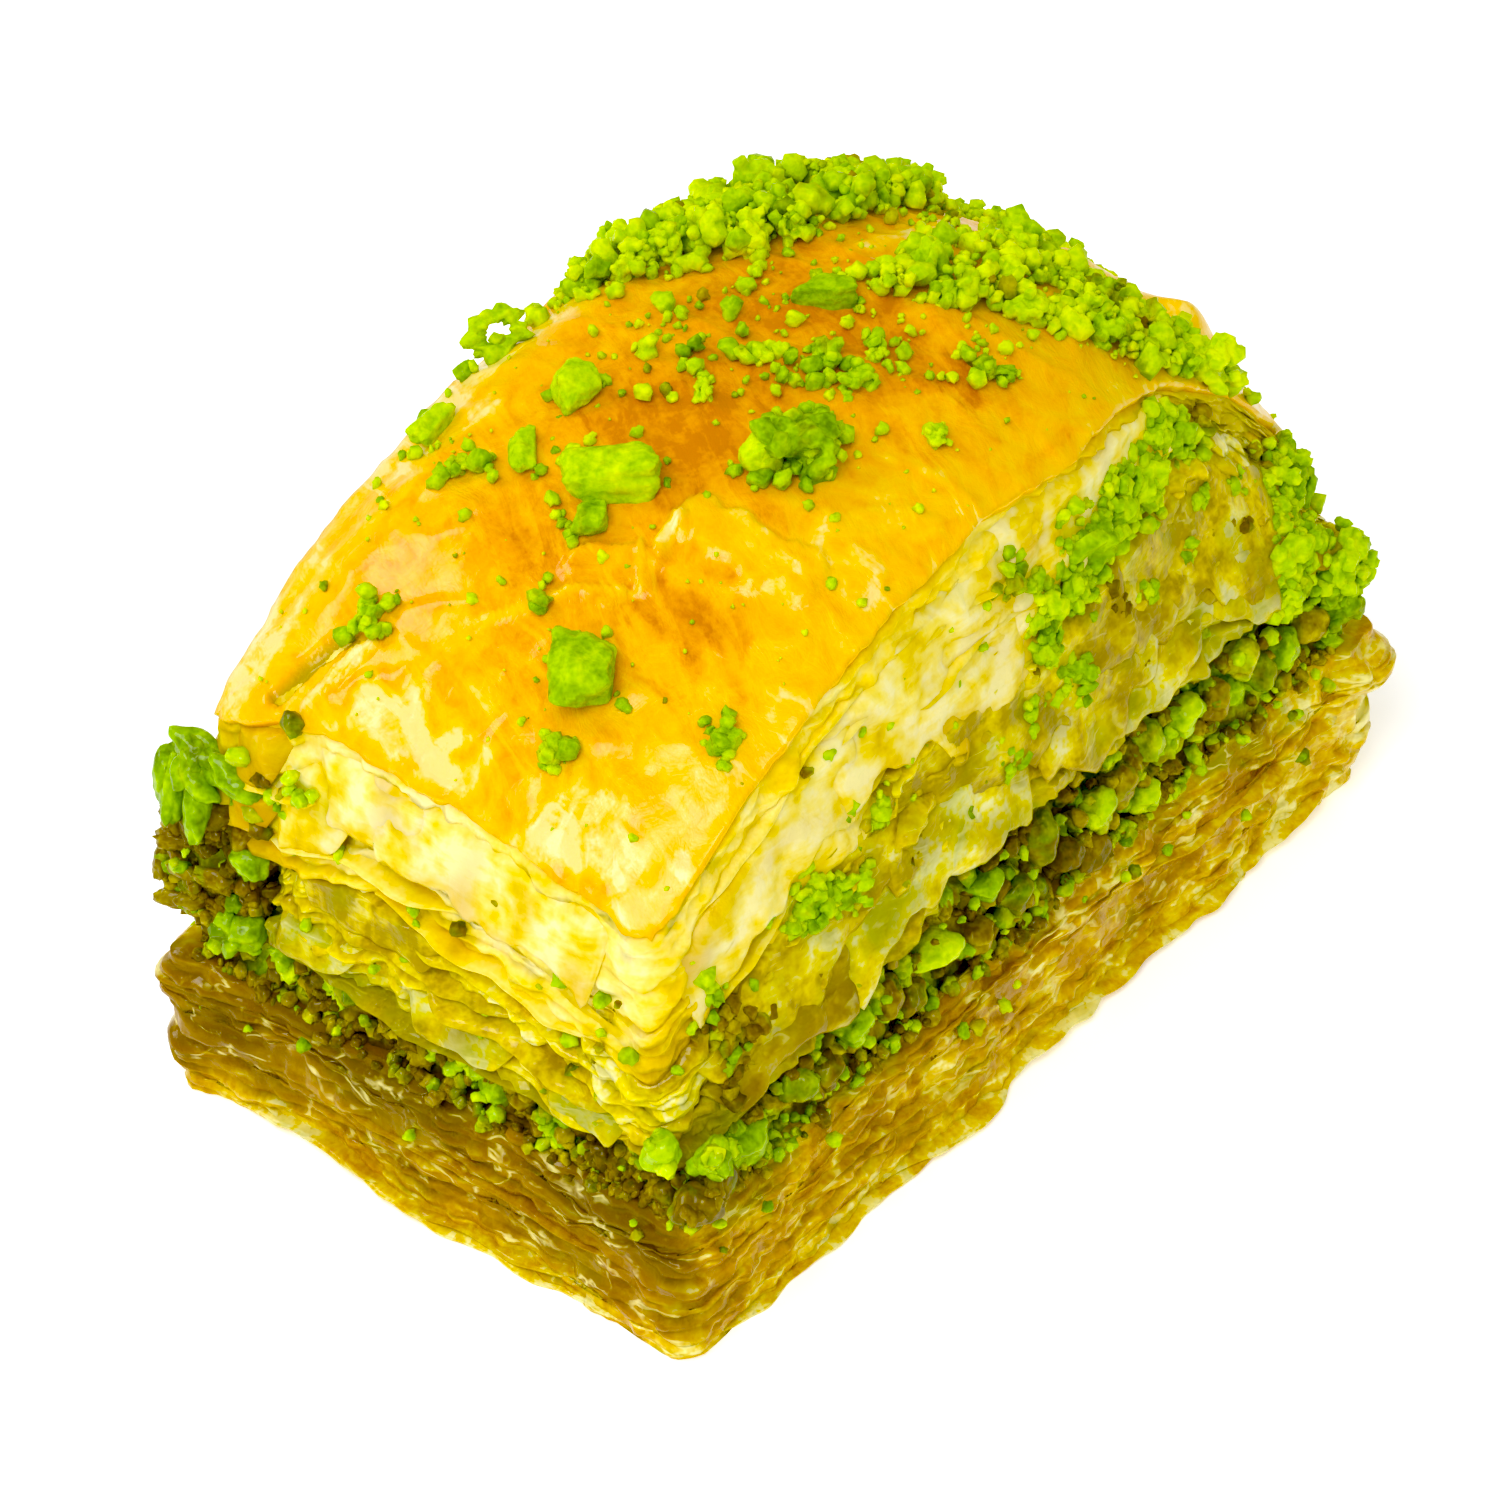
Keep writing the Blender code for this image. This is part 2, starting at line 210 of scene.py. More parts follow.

# %% [markdown]
# ## Small helpers for modelling
# So each piece starts with nothing selected. A piece that is shaped point by point keeps its colours on
# its points as well: red says how dark the leaf is, from baking and from painted shade in grooves and
# crevices, green how pale and bare it is, blue how green it is stained.

# %% Modelling helpers
def start_afresh():
    if bpy.context.object and bpy.context.object.mode != "OBJECT":
        bpy.ops.object.mode_set(mode="OBJECT")
    bpy.ops.object.select_all(action="DESELECT")


def take_new_object(name):
    """Names the object that the last primitive made."""
    piece = bpy.context.object
    piece.name = name
    piece.data.name = name
    return piece


def select_only(piece):
    start_afresh()
    piece.select_set(True)
    bpy.context.view_layer.objects.active = piece


def apply_modifier(piece, kind, name, **settings):
    modifier = piece.modifiers.new(name, kind)
    for key, value in settings.items():
        setattr(modifier, key, value)
    select_only(piece)
    bpy.ops.object.modifier_apply(modifier=modifier.name)


def keep_tones(mesh, tones):
    """Stores one (dark, pale, stained) tone for each point of the mesh; dark covers baking and painted shade."""
    layer = mesh.color_attributes.new("tone", "FLOAT_COLOR", "POINT")
    flat = [channel for tone in tones for channel in (*tone, 1.0)]
    layer.data.foreach_set("color", flat)


def join_pieces(pieces, name):
    start_afresh()
    for piece in pieces:
        piece.select_set(True)
    bpy.context.view_layer.objects.active = pieces[0]
    if len(pieces) > 1:
        bpy.ops.object.join()
    return take_new_object(name)


def finish_piece(piece, material, slot, *nodes):
    """Gives a finished piece its material, smooth shading and the root body as its parent, and hides the CAD nodes
    it replaces.
    """
    piece.data.materials.clear()
    piece.data.materials.append(material)
    select_only(piece)
    bpy.ops.object.shade_smooth()
    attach(piece, "root")
    if nodes:
        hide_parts(*nodes)
    triangles = sum(len(face.vertices) - 2 for face in piece.data.polygons)
    print(piece.name, "has", triangles, "triangles")


# %% [markdown]
# ## Colours
# All colours are written as sRGB hex, as a paint program shows them, and turned to the linear values
# that the renderer works in by one function. One more function adds a shader node with its settings
# and its links, so that a material reads like a list of what it is made of.

# %% Colour and node helpers
def from_hex(code):
    channels = [int(code[index:index + 2], 16) / 255 for index in (1, 3, 5)]
    return (*(c / 12.92 if c <= 0.04045 else ((c + 0.055) / 1.055) ** 2.4 for c in channels), 1.0)


def add_node(tree, kind, settings=None, links=None):
    """Adds a node. Settings are properties, ramp stops or socket values; links are (node, output) pairs."""
    made = tree.nodes.new(kind)
    for key, value in (settings or {}).items():
        if key == "stops":
            elements = made.color_ramp.elements
            while len(elements) < len(value):
                elements.new(0.5)
            for element, (place, code) in zip(elements, value):
                element.position, element.color = place, from_hex(code)
        elif isinstance(key, str) and hasattr(made, key):
            setattr(made, key, value)
        else:
            made.inputs[key].default_value = value
    for key, (source, output) in (links or {}).items():
        tree.links.new(source.outputs[output], made.inputs[key])
    return made


def lumps(size_mm):
    """The noise scale whose lumps are about size_mm across."""
    return 1000.0 / (2 * size_mm)


def new_material(name):
    """An empty node material with its shader, its object coordinates and its tone split in three."""
    material = bpy.data.materials.new(name)
    material.use_nodes = True
    tree = material.node_tree
    place = add_node(tree, "ShaderNodeTexCoord")
    tone = add_node(tree, "ShaderNodeVertexColor", {"layer_name": "tone"})
    split = add_node(tree, "ShaderNodeSeparateColor", links={"Color": (tone, "Color")})
    return material, tree, tree.nodes["Principled BSDF"], place, split


# The sockets of a Mix node for colours: how much, the first colour, the second colour, and its result
MIX_AMOUNT, MIX_FIRST, MIX_SECOND, MIX_RESULT = 0, 6, 7, 2
print("golden in linear light:", [round(value, 3) for value in from_hex("#FFB400")])

# %% [markdown]
# ## A tube of rings
# A stack of leaves could be many thin sheets, but only their edges show. One closed tube whose rings
# step in and out, a groove and a lip for every leaf, gives the same look and stays one solid. It starts
# as a circle that is extruded ring by ring, and its two ends are merged to a point each.

# %% Ring tube
ROUND_POINTS = 720
OUTLINE = [outline_point(index / ROUND_POINTS) for index in range(ROUND_POINTS)]


def select_where(piece, wanted):
    """Selects the vertices whose place passes the test, and is left in edit mode."""
    select_only(piece)
    bpy.ops.object.mode_set(mode="EDIT")
    bpy.ops.mesh.select_mode(type="VERT")
    bpy.ops.mesh.select_all(action="DESELECT")
    bpy.ops.object.mode_set(mode="OBJECT")
    for vertex in piece.data.vertices:
        vertex.select = wanted(vertex.co)
    bpy.ops.object.mode_set(mode="EDIT")


def ring_tube(name, rings):
    start_afresh()
    bpy.ops.mesh.primitive_circle_add(vertices=ROUND_POINTS, radius=1.0)
    tube = take_new_object(name)
    bpy.ops.object.mode_set(mode="EDIT")
    bpy.ops.mesh.select_all(action="SELECT")
    for _ in range(rings - 1):
        bpy.ops.mesh.extrude_region_move(TRANSFORM_OT_translate={"value": (0, 0, 1)})
    bpy.ops.mesh.merge(type="CENTER")
    select_where(tube, lambda place: place.z < 0.5)
    bpy.ops.mesh.merge(type="CENTER")
    bpy.ops.object.mode_set(mode="OBJECT")
    return tube


print("a ring has", ROUND_POINTS, "points")

# %% [markdown]
# ## Laying the rings as leaves
# No two leaves of filo are cut alike. Each gets its own thickness, its own wander of the cut edge, and
# places where it sticks out as a ledge. All of them sway together, because they were baked as one stack.

# %% Stack of leaves
CAP_SHARES = (0.0, 0.5, 0.85, 0.965)
# A leaf's foot and rim as shares of its thickness, and the rings between them as a share of the stack
LIP_FOOT, LIP_RIM, FACE_STEP = 0.2, 0.82, 0.065


class Stack:
    """What one stack of leaves is like. Lengths are in mm."""

    def __init__(self, low, high, insets, lean, leaves, seed, groove, ragged, ledge, sway, blister,
                 shoulder=0.0, pushed=False, weights=None, flares=()):
        self.low, self.high, self.insets, self.lean = low, high, insets, lean
        self.seed, self.groove, self.ragged, self.blister = seed, groove, ragged, blister
        self.ledge, self.sway, self.shoulder, self.pushed = ledge, sway, shoulder, pushed
        self.flares = flares
        draw = random.Random(seed)
        weights = weights or [draw.uniform(0.4, 1.0) ** 1.5 for _ in range(leaves)]
        total = sum(weights)
        self.edges = [sum(weights[:index]) / total for index in range(leaves + 1)]

    def rings(self):
        """Each ring as (share of the height, kind, leaf, share of the way out)."""
        leaves = len(self.edges) - 1
        laid = [(0.0, "cap", 0, share) for share in CAP_SHARES]
        for leaf in range(leaves):
            low, high = self.edges[leaf], self.edges[leaf + 1]
            kinds = ["foot"] + ["face"] * max(1, round((high - low) / FACE_STEP)) + ["rim"]
            laid.append((low, "groove", leaf, 1.0))
            for step, kind in enumerate(kinds):
                level = mix(LIP_FOOT, LIP_RIM, step / (len(kinds) - 1))
                laid.append((mix(low, high, level), kind, leaf, 1.0))
        laid.append((1.0, "groove", leaves, 1.0))
        laid.extend((1.0, "cap", leaves, share) for share in reversed(CAP_SHARES))
        return laid

    def reach(self, x, y, leaf, kind, rises):
        """How far the ring stands out of the plan."""
        own = self.seed + 0.77 * leaf
        shared = self.ragged * wander(x, y, 4 * rises, 7.0, self.seed)
        shared -= self.shoulder * smooth((rises - 0.8) / 0.2)
        for flare_x, flare_y, radius, foot, head in self.flares:
            near = math.exp(-((x - flare_x) ** 2 + (y - flare_y) ** 2) / radius**2)
            torn = 1 + 0.9 * wander(x, y, 7 * rises, 1.6, self.seed + 9)
            shared += near * torn * mix(foot, head, rises)
        if kind == "groove":
            opening = 0.15 + 1.4 * max(0.0, wander(x, y, 0.0, 4.5, own + 12) + 0.2)
            return shared - self.groove * opening
        cut = self.ragged * (0.8 * wander(x, y, 0.0, 4.2, own) + 0.4 * wander(x, y, 0.0, 1.4, own + 4))
        blister = self.blister * (wander(x, y, 9 * rises, 1.5, self.seed + 3)
                                  + 0.6 * wander(x, y, 9 * rises, 0.7, self.seed + 5))
        fine = 0.16 * self.ragged * wander(x, y, 9 * rises, 0.45, own + 6)
        ledge = 2 * self.ledge * max(0.0, wander(x, y, 0.0, 9.0, own + 8) - 0.05)
        return shared + cut + blister + fine + ledge

    def place(self, ring, index):
        """The place of one point of one ring in mm, and its outward direction."""
        rises, kind, leaf, share = ring
        u, v, out_x, out_y = OUTLINE[index]
        x, y = plan_point(self.insets, self.lean, u, v, rises)
        reach = 0.0 if kind == "cap" else self.reach(x, y, leaf, kind, rises)
        if kind == "cap":
            x, y = x * share, y * share
        x, y = x + out_x * reach, y + out_y * reach
        envelope = 4 * rises * (1 - rises)
        swell = wander(x, y, 2.2 * leaf, 6.0, self.seed) + 0.3 * wander(x, y, 1.7 * leaf, 1.8, self.seed + 1)
        z = mix(self.low(x, y), self.high(x, y), rises) + self.sway * envelope * swell
        z += 0.35 * self.blister * envelope * wander(x, y, 0.9 * leaf, 0.9, self.seed + 7)
        if self.pushed:
            x, y = pushed_in(x, y, z)
        return x, y, z


def lay_stack(name, stack, tone_of):
    """Builds the tube of a stack and lays its rings. tone_of gives the tone of a point."""
    rings = stack.rings()
    tube = ring_tube(name, len(rings))
    tones = []
    for vertex in tube.data.vertices:
        ring = rings[round(vertex.co.z)]
        index = round(math.atan2(vertex.co.y, vertex.co.x) / math.tau * ROUND_POINTS) % ROUND_POINTS
        x, y, z = stack.place(ring, index)
        vertex.co = Vector((x, y, max(z, 0.0))) * MM
        tones.append(tone_of(ring, OUTLINE[index], x, y, z))
    keep_tones(tube.data, tones)
    select_only(tube)
    bpy.ops.object.mode_set(mode="EDIT")
    bpy.ops.mesh.select_all(action="SELECT")
    bpy.ops.mesh.normals_make_consistent(inside=False)
    bpy.ops.object.mode_set(mode="OBJECT")
    return tube


def clamp(value):
    return min(1.0, max(0.0, value))


print("a ring for every", FACE_STEP, "of a stack's height")

# %% [markdown]
# ## The slab at the bottom
# The lowest leaves stand in syrup, so they are brown, glassy and pressed together. The short side is
# browner than the long one, partly its own colour and partly painted shade. Red in the tone is painted shade
# in the grooves and the browning, green is how pale the lip is, with painted highlight streaks on the rims
# and a painted glow at the thin far tip, blue how green the pistachios have stained it.

# %% Base slab
# Where the slab's corners curl outwards: x, y, radius, and how far at the foot and at the head, in mm
SLAB_FLARES = ((26.0, -15.3, 4.0, 0.2, 1.3), (-26.0, 15.3, 4.5, 0.5, 0.8), (-26.0, -15.3, 3.0, 0.2, 0.0))
base_stack = Stack(floor_level, base_top, BASE_INSETS, UPRIGHT, 13, 21, 0.14, 0.42, 0.15, 0.8, 0.35,
                   shoulder=0.7, flares=SLAB_FLARES)


def base_tone(ring, outline, x, y, z):
    kind, leaf = ring[1], ring[2]
    short_side = clamp(-outline[2])
    # The short side is browner partly as painted shade. Towards the far end the browning fades and the face turns
    # pale: a painted glow where light shines through the thin tip.
    brown = 0.12 + 0.53 * short_side + 0.5 * wander(x + 0.8 * z, y, z, 4.5, 31)
    brown += 0.3 * short_side * smooth((z - 3) / 3) - 0.1 * short_side - 0.6 * smooth((x - 13) / 9)
    # Painted shade in the groove.
    if kind == "groove":
        brown += 0.15
    # Painted highlight: pale streaks on the rims where the syrup glints.
    rim = clamp(3.0 * wander(x, y, leaf * 2.0, 1.9, 32) - 0.25) if kind == "rim" else 0.0
    foot = clamp(1.5 - z / 1.3)
    face = 0.3 + 0.5 * wander(x, y, z, 3.0, 34) - 0.2 * short_side + 0.42 * smooth((x - 13) / 10)
    stain = clamp(0.9 * wander(x, y, z, 6.0, 33) + 0.5 * clamp((z - 5.5) / 3) - 0.1)
    return clamp(brown - 0.5 * foot), clamp(max(face, 0.9 * rim) + 0.5 * foot), stain


base_slab = lay_stack("base_slab", base_stack, base_tone)
print("base slab vertices:", len(base_slab.data.vertices))

# %% [markdown]
# ## The soaked leaves above the nuts
# These leaves are thin and wet through. They have slumped over the nuts and stick to one another, so
# their grooves are shallow in some places and open in others. Near the nuts they are stained olive, and
# the grooves and patches of the long side are darkened as painted shade.

# %% Middle leaves
middle_stack = Stack(lambda x, y: nut_top(x, y) + 0.3, lambda x, y: seam_height(x, y) + 0.1,
                     MIDDLE_INSETS, MIDDLE_LEAN, 11, 23, 0.8, 0.6, 0.5, 0.9, 0.7, pushed=True)


def middle_tone(ring, outline, x, y, z):
    rises, kind, leaf = ring[0], ring[1], ring[2]
    # Painted shade in the grooves.
    deep = 0.55 if kind == "groove" else 0.1 + 0.3 * wander(x, y, z, 2.0, 41)
    pale = 0.45 + 0.6 * wander(x, y, leaf * 1.2, 5.0, 42) + 0.3 * wander(x, y, z, 1.5, 43)
    stain = 0.6 * (1 - smooth(rises / 0.4)) + 0.5 * wander(x, y, z, 4.0, 44)
    long_side = clamp(-outline[3])
    # Painted shade: dark patches on the long side, and darker round one spot towards the near end.
    painted_shade_patches = long_side * clamp(1.6 * wander(x, y, z, 3.0, 45) - 0.1)
    painted_shade_patches += 0.5 * long_side * smooth(1 - math.hypot(x + 20, z - 15) / 6)
    return clamp(deep + 0.6 * painted_shade_patches), clamp(pale + 0.1 * rises), clamp(stain + 0.22 * long_side)


middle_leaves = lay_stack("middle_leaves", middle_stack, middle_tone)
print("middle vertices:", len(middle_leaves.data.vertices))

# %% [markdown]
# ## The puffed leaves under the crust
# Steam has lifted the upper leaves into thick, pale, blistered layers. They are few and deep, and they
# stay dry and cream at the near corner, and turn yellow and wet towards the far end.

# %% Puffed leaves
CRUST_GAP = 0.15
PUFF_WEIGHTS = (0.5, 0.4, 0.5, 0.45, 2.2, 1.3, 0.5)
puffed_stack = Stack(seam_height, lambda x, y: blistered_crust(x, y) - CRUST_GAP, PUFF_INSETS, PUFF_LEAN,
                     7, 24, 0.3, 0.42, 0.25, 0.9, 0.45, weights=PUFF_WEIGHTS)


def puffed_tone(ring, outline, x, y, z):
    rises, kind, leaf = ring[0], ring[1], ring[2]
    long_side = clamp(-outline[3])
    # Painted shade in the grooves, darker low in the stack.
    deep = mix(0.45, 0.2, rises) if kind == "groove" else 0.05 + 0.3 * wander(x, y, z, 1.5, 51)
    dry = 0.8 - 0.3 * smooth((x - 1) / 14) - 0.3 * smooth((0.3 - rises) / 0.3) - 0.3 * long_side
    spilled = smooth(1.3 - math.hypot(x + 25, y - 14) / 7.5)
    dry -= 0.4 * spilled
    pale = dry + 0.35 * wander(x, y, leaf * 1.4, 4.0, 52) + 0.2 * wander(x, y, z, 1.2, 53)
    stain = 0.45 * smooth((x - 4) / 12) + 0.4 * wander(x, y, z, 4.0, 54) + 0.5 * spilled
    return clamp(deep + 0.25 * spilled), clamp(pale), clamp(stain)


puffed_leaves = lay_stack("puffed_leaves", puffed_stack, puffed_tone)
print("puffed vertices:", len(puffed_leaves.data.vertices))

# %% [markdown]
# ## The golden crust
# The topmost leaf is brushed with butter and bakes to gold, orange where it lies highest and cream where
# its skin has flaked off. It is a grid laid over the arch. A list of strokes, each a short fat line in
# mm, says where it is darker or paler and where it stands proud or sinks; noise frays every stroke.

# %% Crust strokes
# Each stroke is start x, y, end x, y, radius at start and end in mm, toast from 0 to 1, and lift in mm
CRUST_STROKES = (
    (-18.1, -1.9, -15.1, -7.2, 2.0, 2.0, 0.70, 0.0),
    (3.6, -0.9, 3.6, -5.7, 2.4, 2.0, 0.95, 0.0),
    (-7.1, 3.6, -8.1, 1.8, 1.8, 1.6, 0.97, 0.0),
    (-7.5, -0.3, -9.7, -1.7, 1.4, 1.3, 0.95, 0.0),
    (-14.4, -3.3, -14.4, -6.7, 1.3, 1.3, 0.88, 0.0),
    (-12.7, 7.7, -15.5, 8.2, 1.3, 1.1, 0.5, 0.0),
    (-24.1, 11.6, -24.8, 9.5, 0.9, 0.9, 0.62, 0.2),
    (-14.2, -9.8, -11.3, -10.7, 0.9, 0.9, 0.36, 0.0),
    (-17.2, -11.1, -15.0, -11.5, 0.8, 0.8, 0.30, 0.0),
    (-21.9, -10.8, -20.7, -11.2, 1.2, 1.0, 0.30, 0.0),
    (-18.4, -6.3, -18.9, -10.3, 1.1, 1.2, 0.34, 0.1),
    (-10.4, -3.3, -9.8, -8.2, 1.0, 1.2, 0.38, 0.25),
    (-6.8, -7.9, -3.9, -11.0, 0.7, 0.8, 0.27, 0.1),
    (-7.6, -12.0, -10.2, -11.8, 0.9, 0.9, 0.25, 0.0),
    (1.4, -10.9, 14.9, -9.3, 0.5, 0.5, 0.42, 0.0),
    (8.7, 2.3, 13.7, 2.2, 0.4, 0.6, 0.15, 0.1),
    (15.2, 0.9, 18.0, -0.6, 0.5, 0.5, 0.15, 0.1),
    (-14.4, -1.1, -13.8, -2.0, 1.4, 1.4, 0.66, 0.22),
    (-12.5, -1.8, -14.2, -3.2, 0.16, 0.16, 0.34, 0.2),
    (-16.1, -0.3, -14.3, -3.3, 0.12, 0.15, 0.34, 0.15),
    (-12.2, -2.7, -10.9, -2.6, 0.38, 0.28, 0.03, 0.35),
    (-9.9, -6.9, -9.5, -8.0, 0.22, 0.18, 0.05, 0.1),
    (-7.3, -9.5, -7.4, -10.9, 0.38, 0.38, 0.08, 0.1),
    (-1.8, -9.1, -1.7, -9.7, 0.32, 0.26, 0.20, 0.05),
    (-2.3, -7.4, -2.2, -7.6, 0.22, 0.22, 0.20, 0.05),
    (-19.5, 2.9, -16.1, -0.3, 0.28, 0.22, 0.35, 0.1),
    (-19.5, 2.9, -19.8, 2.1, 1.3, 0.95, 0.42, -0.05),
    (-20.8, 0.3, -21.0, -0.1, 0.8, 0.65, 0.40, -0.05),
    (-22.0, -2.2, -23.7, -3.9, 0.85, 0.85, 0.62, 0.1),
    (-22.6, 6.0, -21.7, 4.2, 0.45, 0.45, 0.66, 0.12),
    (-23.4, 7.0, -24.4, 2.0, 0.36, 0.4, 0.62, 0.12),
    (-24.4, 2.0, -24.6, -1.9, 0.34, 0.3, 0.6, 0.12),
    (-21.1, 2.5, -23.0, 1.5, 0.4, 0.32, 0.62, 0.1),
    (-23.3, 4.9, -24.1, -0.2, 0.85, 0.6, 0.04, -0.15),
    (-22.0, 3.1, -23.5, 1.3, 0.3, 0.3, 0.06, -0.1),
    (-23.1, 0.5, -22.6, -0.5, 0.42, 0.3, 0.10, -0.05),
    (-24.1, -1.3, -22.8, -1.7, 0.75, 0.45, 0.08, 0.0),
    (-21.3, -5.7, -22.4, -6.6, 0.35, 0.5, 0.12, 0.1),
    (-22.4, -7.8, -22.8, -8.0, 1.1, 1.05, 0.16, 0.12),
    (-23.1, -5.9, -23.6, -5.9, 0.6, 0.6, 0.20, 0.1),
    (-24.6, -5.2, -23.0, -9.1, 0.65, 0.9, 0.08, 0.12),
    (-24.8, -6.8, -24.4, -9.4, 0.4, 0.5, 0.85, 0.0),
    (-24.5, -10.0, -24.4, -10.4, 0.4, 0.25, 0.15, 0.05),
    (-23.8, 7.6, -21.0, 6.6, 0.4, 0.4, 0.10, 0.3),
    (-20.8, 13.7, -18.7, 12.6, 0.45, 0.45, 0.2, 0.1),
    (-17.9, 11.5, -13.3, 10.1, 0.38, 0.32, 0.3, 0.05),
    (-11.6, 10.4, -8.9, 9.2, 0.28, 0.28, 0.3, 0.05),
    (-21.8, -12.1, -19.7, -12.0, 0.34, 0.34, 0.2, 0.05),
)
OLIVE_GROOVE = (-23.6, 9.6, -20.6, 7.8, 0.4, 0.35, -0.55)


def inside_stroke(x, y, stroke, fray, soft):
    """1 inside the stroke, 0 outside, with an edge that noise frays."""
    x0, y0, x1, y1, r0, r1 = stroke[:6]
    span_x, span_y = x1 - x0, y1 - y0
    along = clamp(((x - x0) * span_x + (y - y0) * span_y) / (span_x**2 + span_y**2))
    radius = mix(r0, r1, along)
    distance = math.hypot(x - x0 - along * span_x, y - y0 - along * span_y)
    if distance > 2.5 * radius + 0.6:
        return 0.0
    frayed = radius * (1 + fray * wander(x, y, radius, 0.5 * radius + 0.5, 61))
    return smooth(0.5 + (frayed - distance) / soft)


print("crust strokes:", len(CRUST_STROKES))

# %% [markdown]
# The grid has cells of about a quarter of a millimetre. Its cut edges fray a little past the leaves
# below, then Solidify gives it the thickness of a few leaves baked into one.

# %% Crust sheet
CRUST_CELLS = (230, 132)
CRUST_LEAF = 0.34
CRUST_OVERHANG = 0.012
EDGE_YELLOW = 0.3
LIP_BEHIND_DRIFT = 1.1


def beyond_drift(x, y):
    """1 on the bare pale corner behind the right drift of crumbs, 0 elsewhere."""
    return smooth((x - 15.5 + 0.72 * (y + 2)) / 2) * smooth((1 - y) / 3)


def crust_toast(x, y, u, v):
    """How far the crust is baked, from 0, cream, to 1, deep orange."""
    hot = math.exp(-((x + 2) / 15) ** 2 - ((y - 0.5) / 8.0) ** 2)
    toast = 0.55 + 0.34 * hot + 0.22 * wander(x, y, 0.0, 5.0, 62) + 0.1 * wander(x, y, 0.0, 1.6, 63)
    streaks = 1 - abs(2.2 * wander(0.8 * x + 0.4 * y, 0.3 * y - 0.6 * x, 0.0, 1.5, 64))
    front_right = smooth((-3.5 - y) / 4) * smooth((4 - x) / 5)
    toast -= 0.28 * max(0.0, streaks - 0.25) * front_right
    toast = mix(toast, 0.46, 0.6 * smooth((x - 9) / 8))
    for stroke in CRUST_STROKES:
        amount = inside_stroke(x, y, stroke, 0.75, 0.55 * min(1.0, stroke[4] + 0.25))
        if amount:
            toast = mix(toast, stroke[6] + 0.12 * wander(x, y, 0.0, 0.8, 65), amount)
    right_edge = smooth((-v - 0.93) / 0.05) * (0.75 + 0.5 * wander(x, y, 0.0, 2.0, 66))
    toast = mix(toast, EDGE_YELLOW, clamp(right_edge))
    far_left = smooth((v - 0.8) / 0.15)
    pale_streaks = clamp(0.45 + 1.3 * wander(0.5 * x, 3 * y, 0.0, 2.0, 67))
    toast = mix(toast, 0.3, 0.75 * far_left * pale_streaks)
    near_left_rim = smooth((v - 0.66) / 0.2) * smooth((4 - x) / 7)
    toast = mix(toast, 0.06, near_left_rim * clamp(0.75 + 1.2 * wander(0.4 * x, 2.2 * y, 0.0, 2.0, 69)))
    near_edge = smooth((-u - 0.965) / 0.03)
    toast = mix(toast, 0.4, 0.6 * near_edge)
    return clamp(mix(toast, 0.1, 0.85 * beyond_drift(x, y)))


def crust_flaking(x, y):
    """How much of its skin the crust has lost: little over the hot middle, more towards its edges."""
    hot = math.exp(-((x + 1) / 11) ** 2 - ((y - 2) / 6.0) ** 2)
    return clamp(0.8 - 0.8 * hot + 0.5 * wander(x, y, 0.0, 4.0, 68))


def crust_lift(x, y, u, v):
    """What the crust adds to the arch: blisters, creases, flakes that stand up and edges that droop."""
    lift = 0.14 * wander(x, y, 0.0, 3.0, 71) + 0.07 * wander(x, y, 0.0, 1.1, 72)
    crease = 1 - abs(2.4 * wander(0.9 * x + 0.3 * y, 0.35 * y - 0.3 * x, 0.0, 2.6, 73))
    lift += 0.16 * max(0.0, crease) ** 2
    for stroke in CRUST_STROKES:
        if stroke[7]:
            lift += stroke[7] * inside_stroke(x, y, stroke, 0.75, 0.2)
    lift += OLIVE_GROOVE[6] * inside_stroke(x, y, OLIVE_GROOVE, 0.5, 0.5)
    lip = beyond_drift(x, y) * smooth((y + 8.5) / 2.5)
    lift += LIP_BEHIND_DRIFT * lip * max(0.0, 0.6 + 2.2 * wander(x, y, 0.0, 3.2, 77))
    edge = smooth((max(abs(u), abs(v)) - 0.955) / 0.045)
    return lift + edge * (0.3 * wander(x, y, 0.0, 3.0, 74) - 0.05)


def make_crust():
    start_afresh()
    bpy.ops.mesh.primitive_grid_add(x_subdivisions=CRUST_CELLS[0], y_subdivisions=CRUST_CELLS[1], size=2.0)
    sheet = take_new_object("golden_crust")
    tones = []
    for vertex in sheet.data.vertices:
        u, v = vertex.co.x, vertex.co.y
        worn = smooth((abs(u) - 0.93) / 0.07) * smooth((abs(v) - 0.88) / 0.12)
        x, y = plan_point(PUFF_INSETS, PUFF_LEAN, u, v, 1.0)
        fray = CRUST_OVERHANG + 0.010 * wander(x, y, 0.0, 2.4, 75) + 0.005 * wander(x, y, 0.0, 0.7, 76)
        x, y = x * (1 + fray * u * u - 0.02 * worn), y * (1 + 1.7 * fray * v * v - 0.035 * worn)
        z = blistered_crust(x, y) + CRUST_LEAF + crust_lift(x, y, u, v)
        vertex.co = Vector((x, y, z)) * MM
        groove = inside_stroke(x, y, OLIVE_GROOVE, 0.5, 0.6)
        tones.append((crust_toast(x, y, u, v), crust_flaking(x, y), groove))
    keep_tones(sheet.data, tones)
    apply_modifier(sheet, "SOLIDIFY", "Thickness", thickness=(CRUST_LEAF + CRUST_GAP) * MM, offset=-1.0)
    return sheet


golden_crust = make_crust()
print("crust vertices:", len(golden_crust.data.vertices))

# %% [markdown]
# ## Loose leaves
# Single leaves have slipped out of the stacks. Some jut out like a ledge, others hang down over the
# leaves beneath as wet curtains. Both start as a grid: one way runs along a side, the other way runs
# outward or down. Solidify then gives the thickness of a leaf of filo.

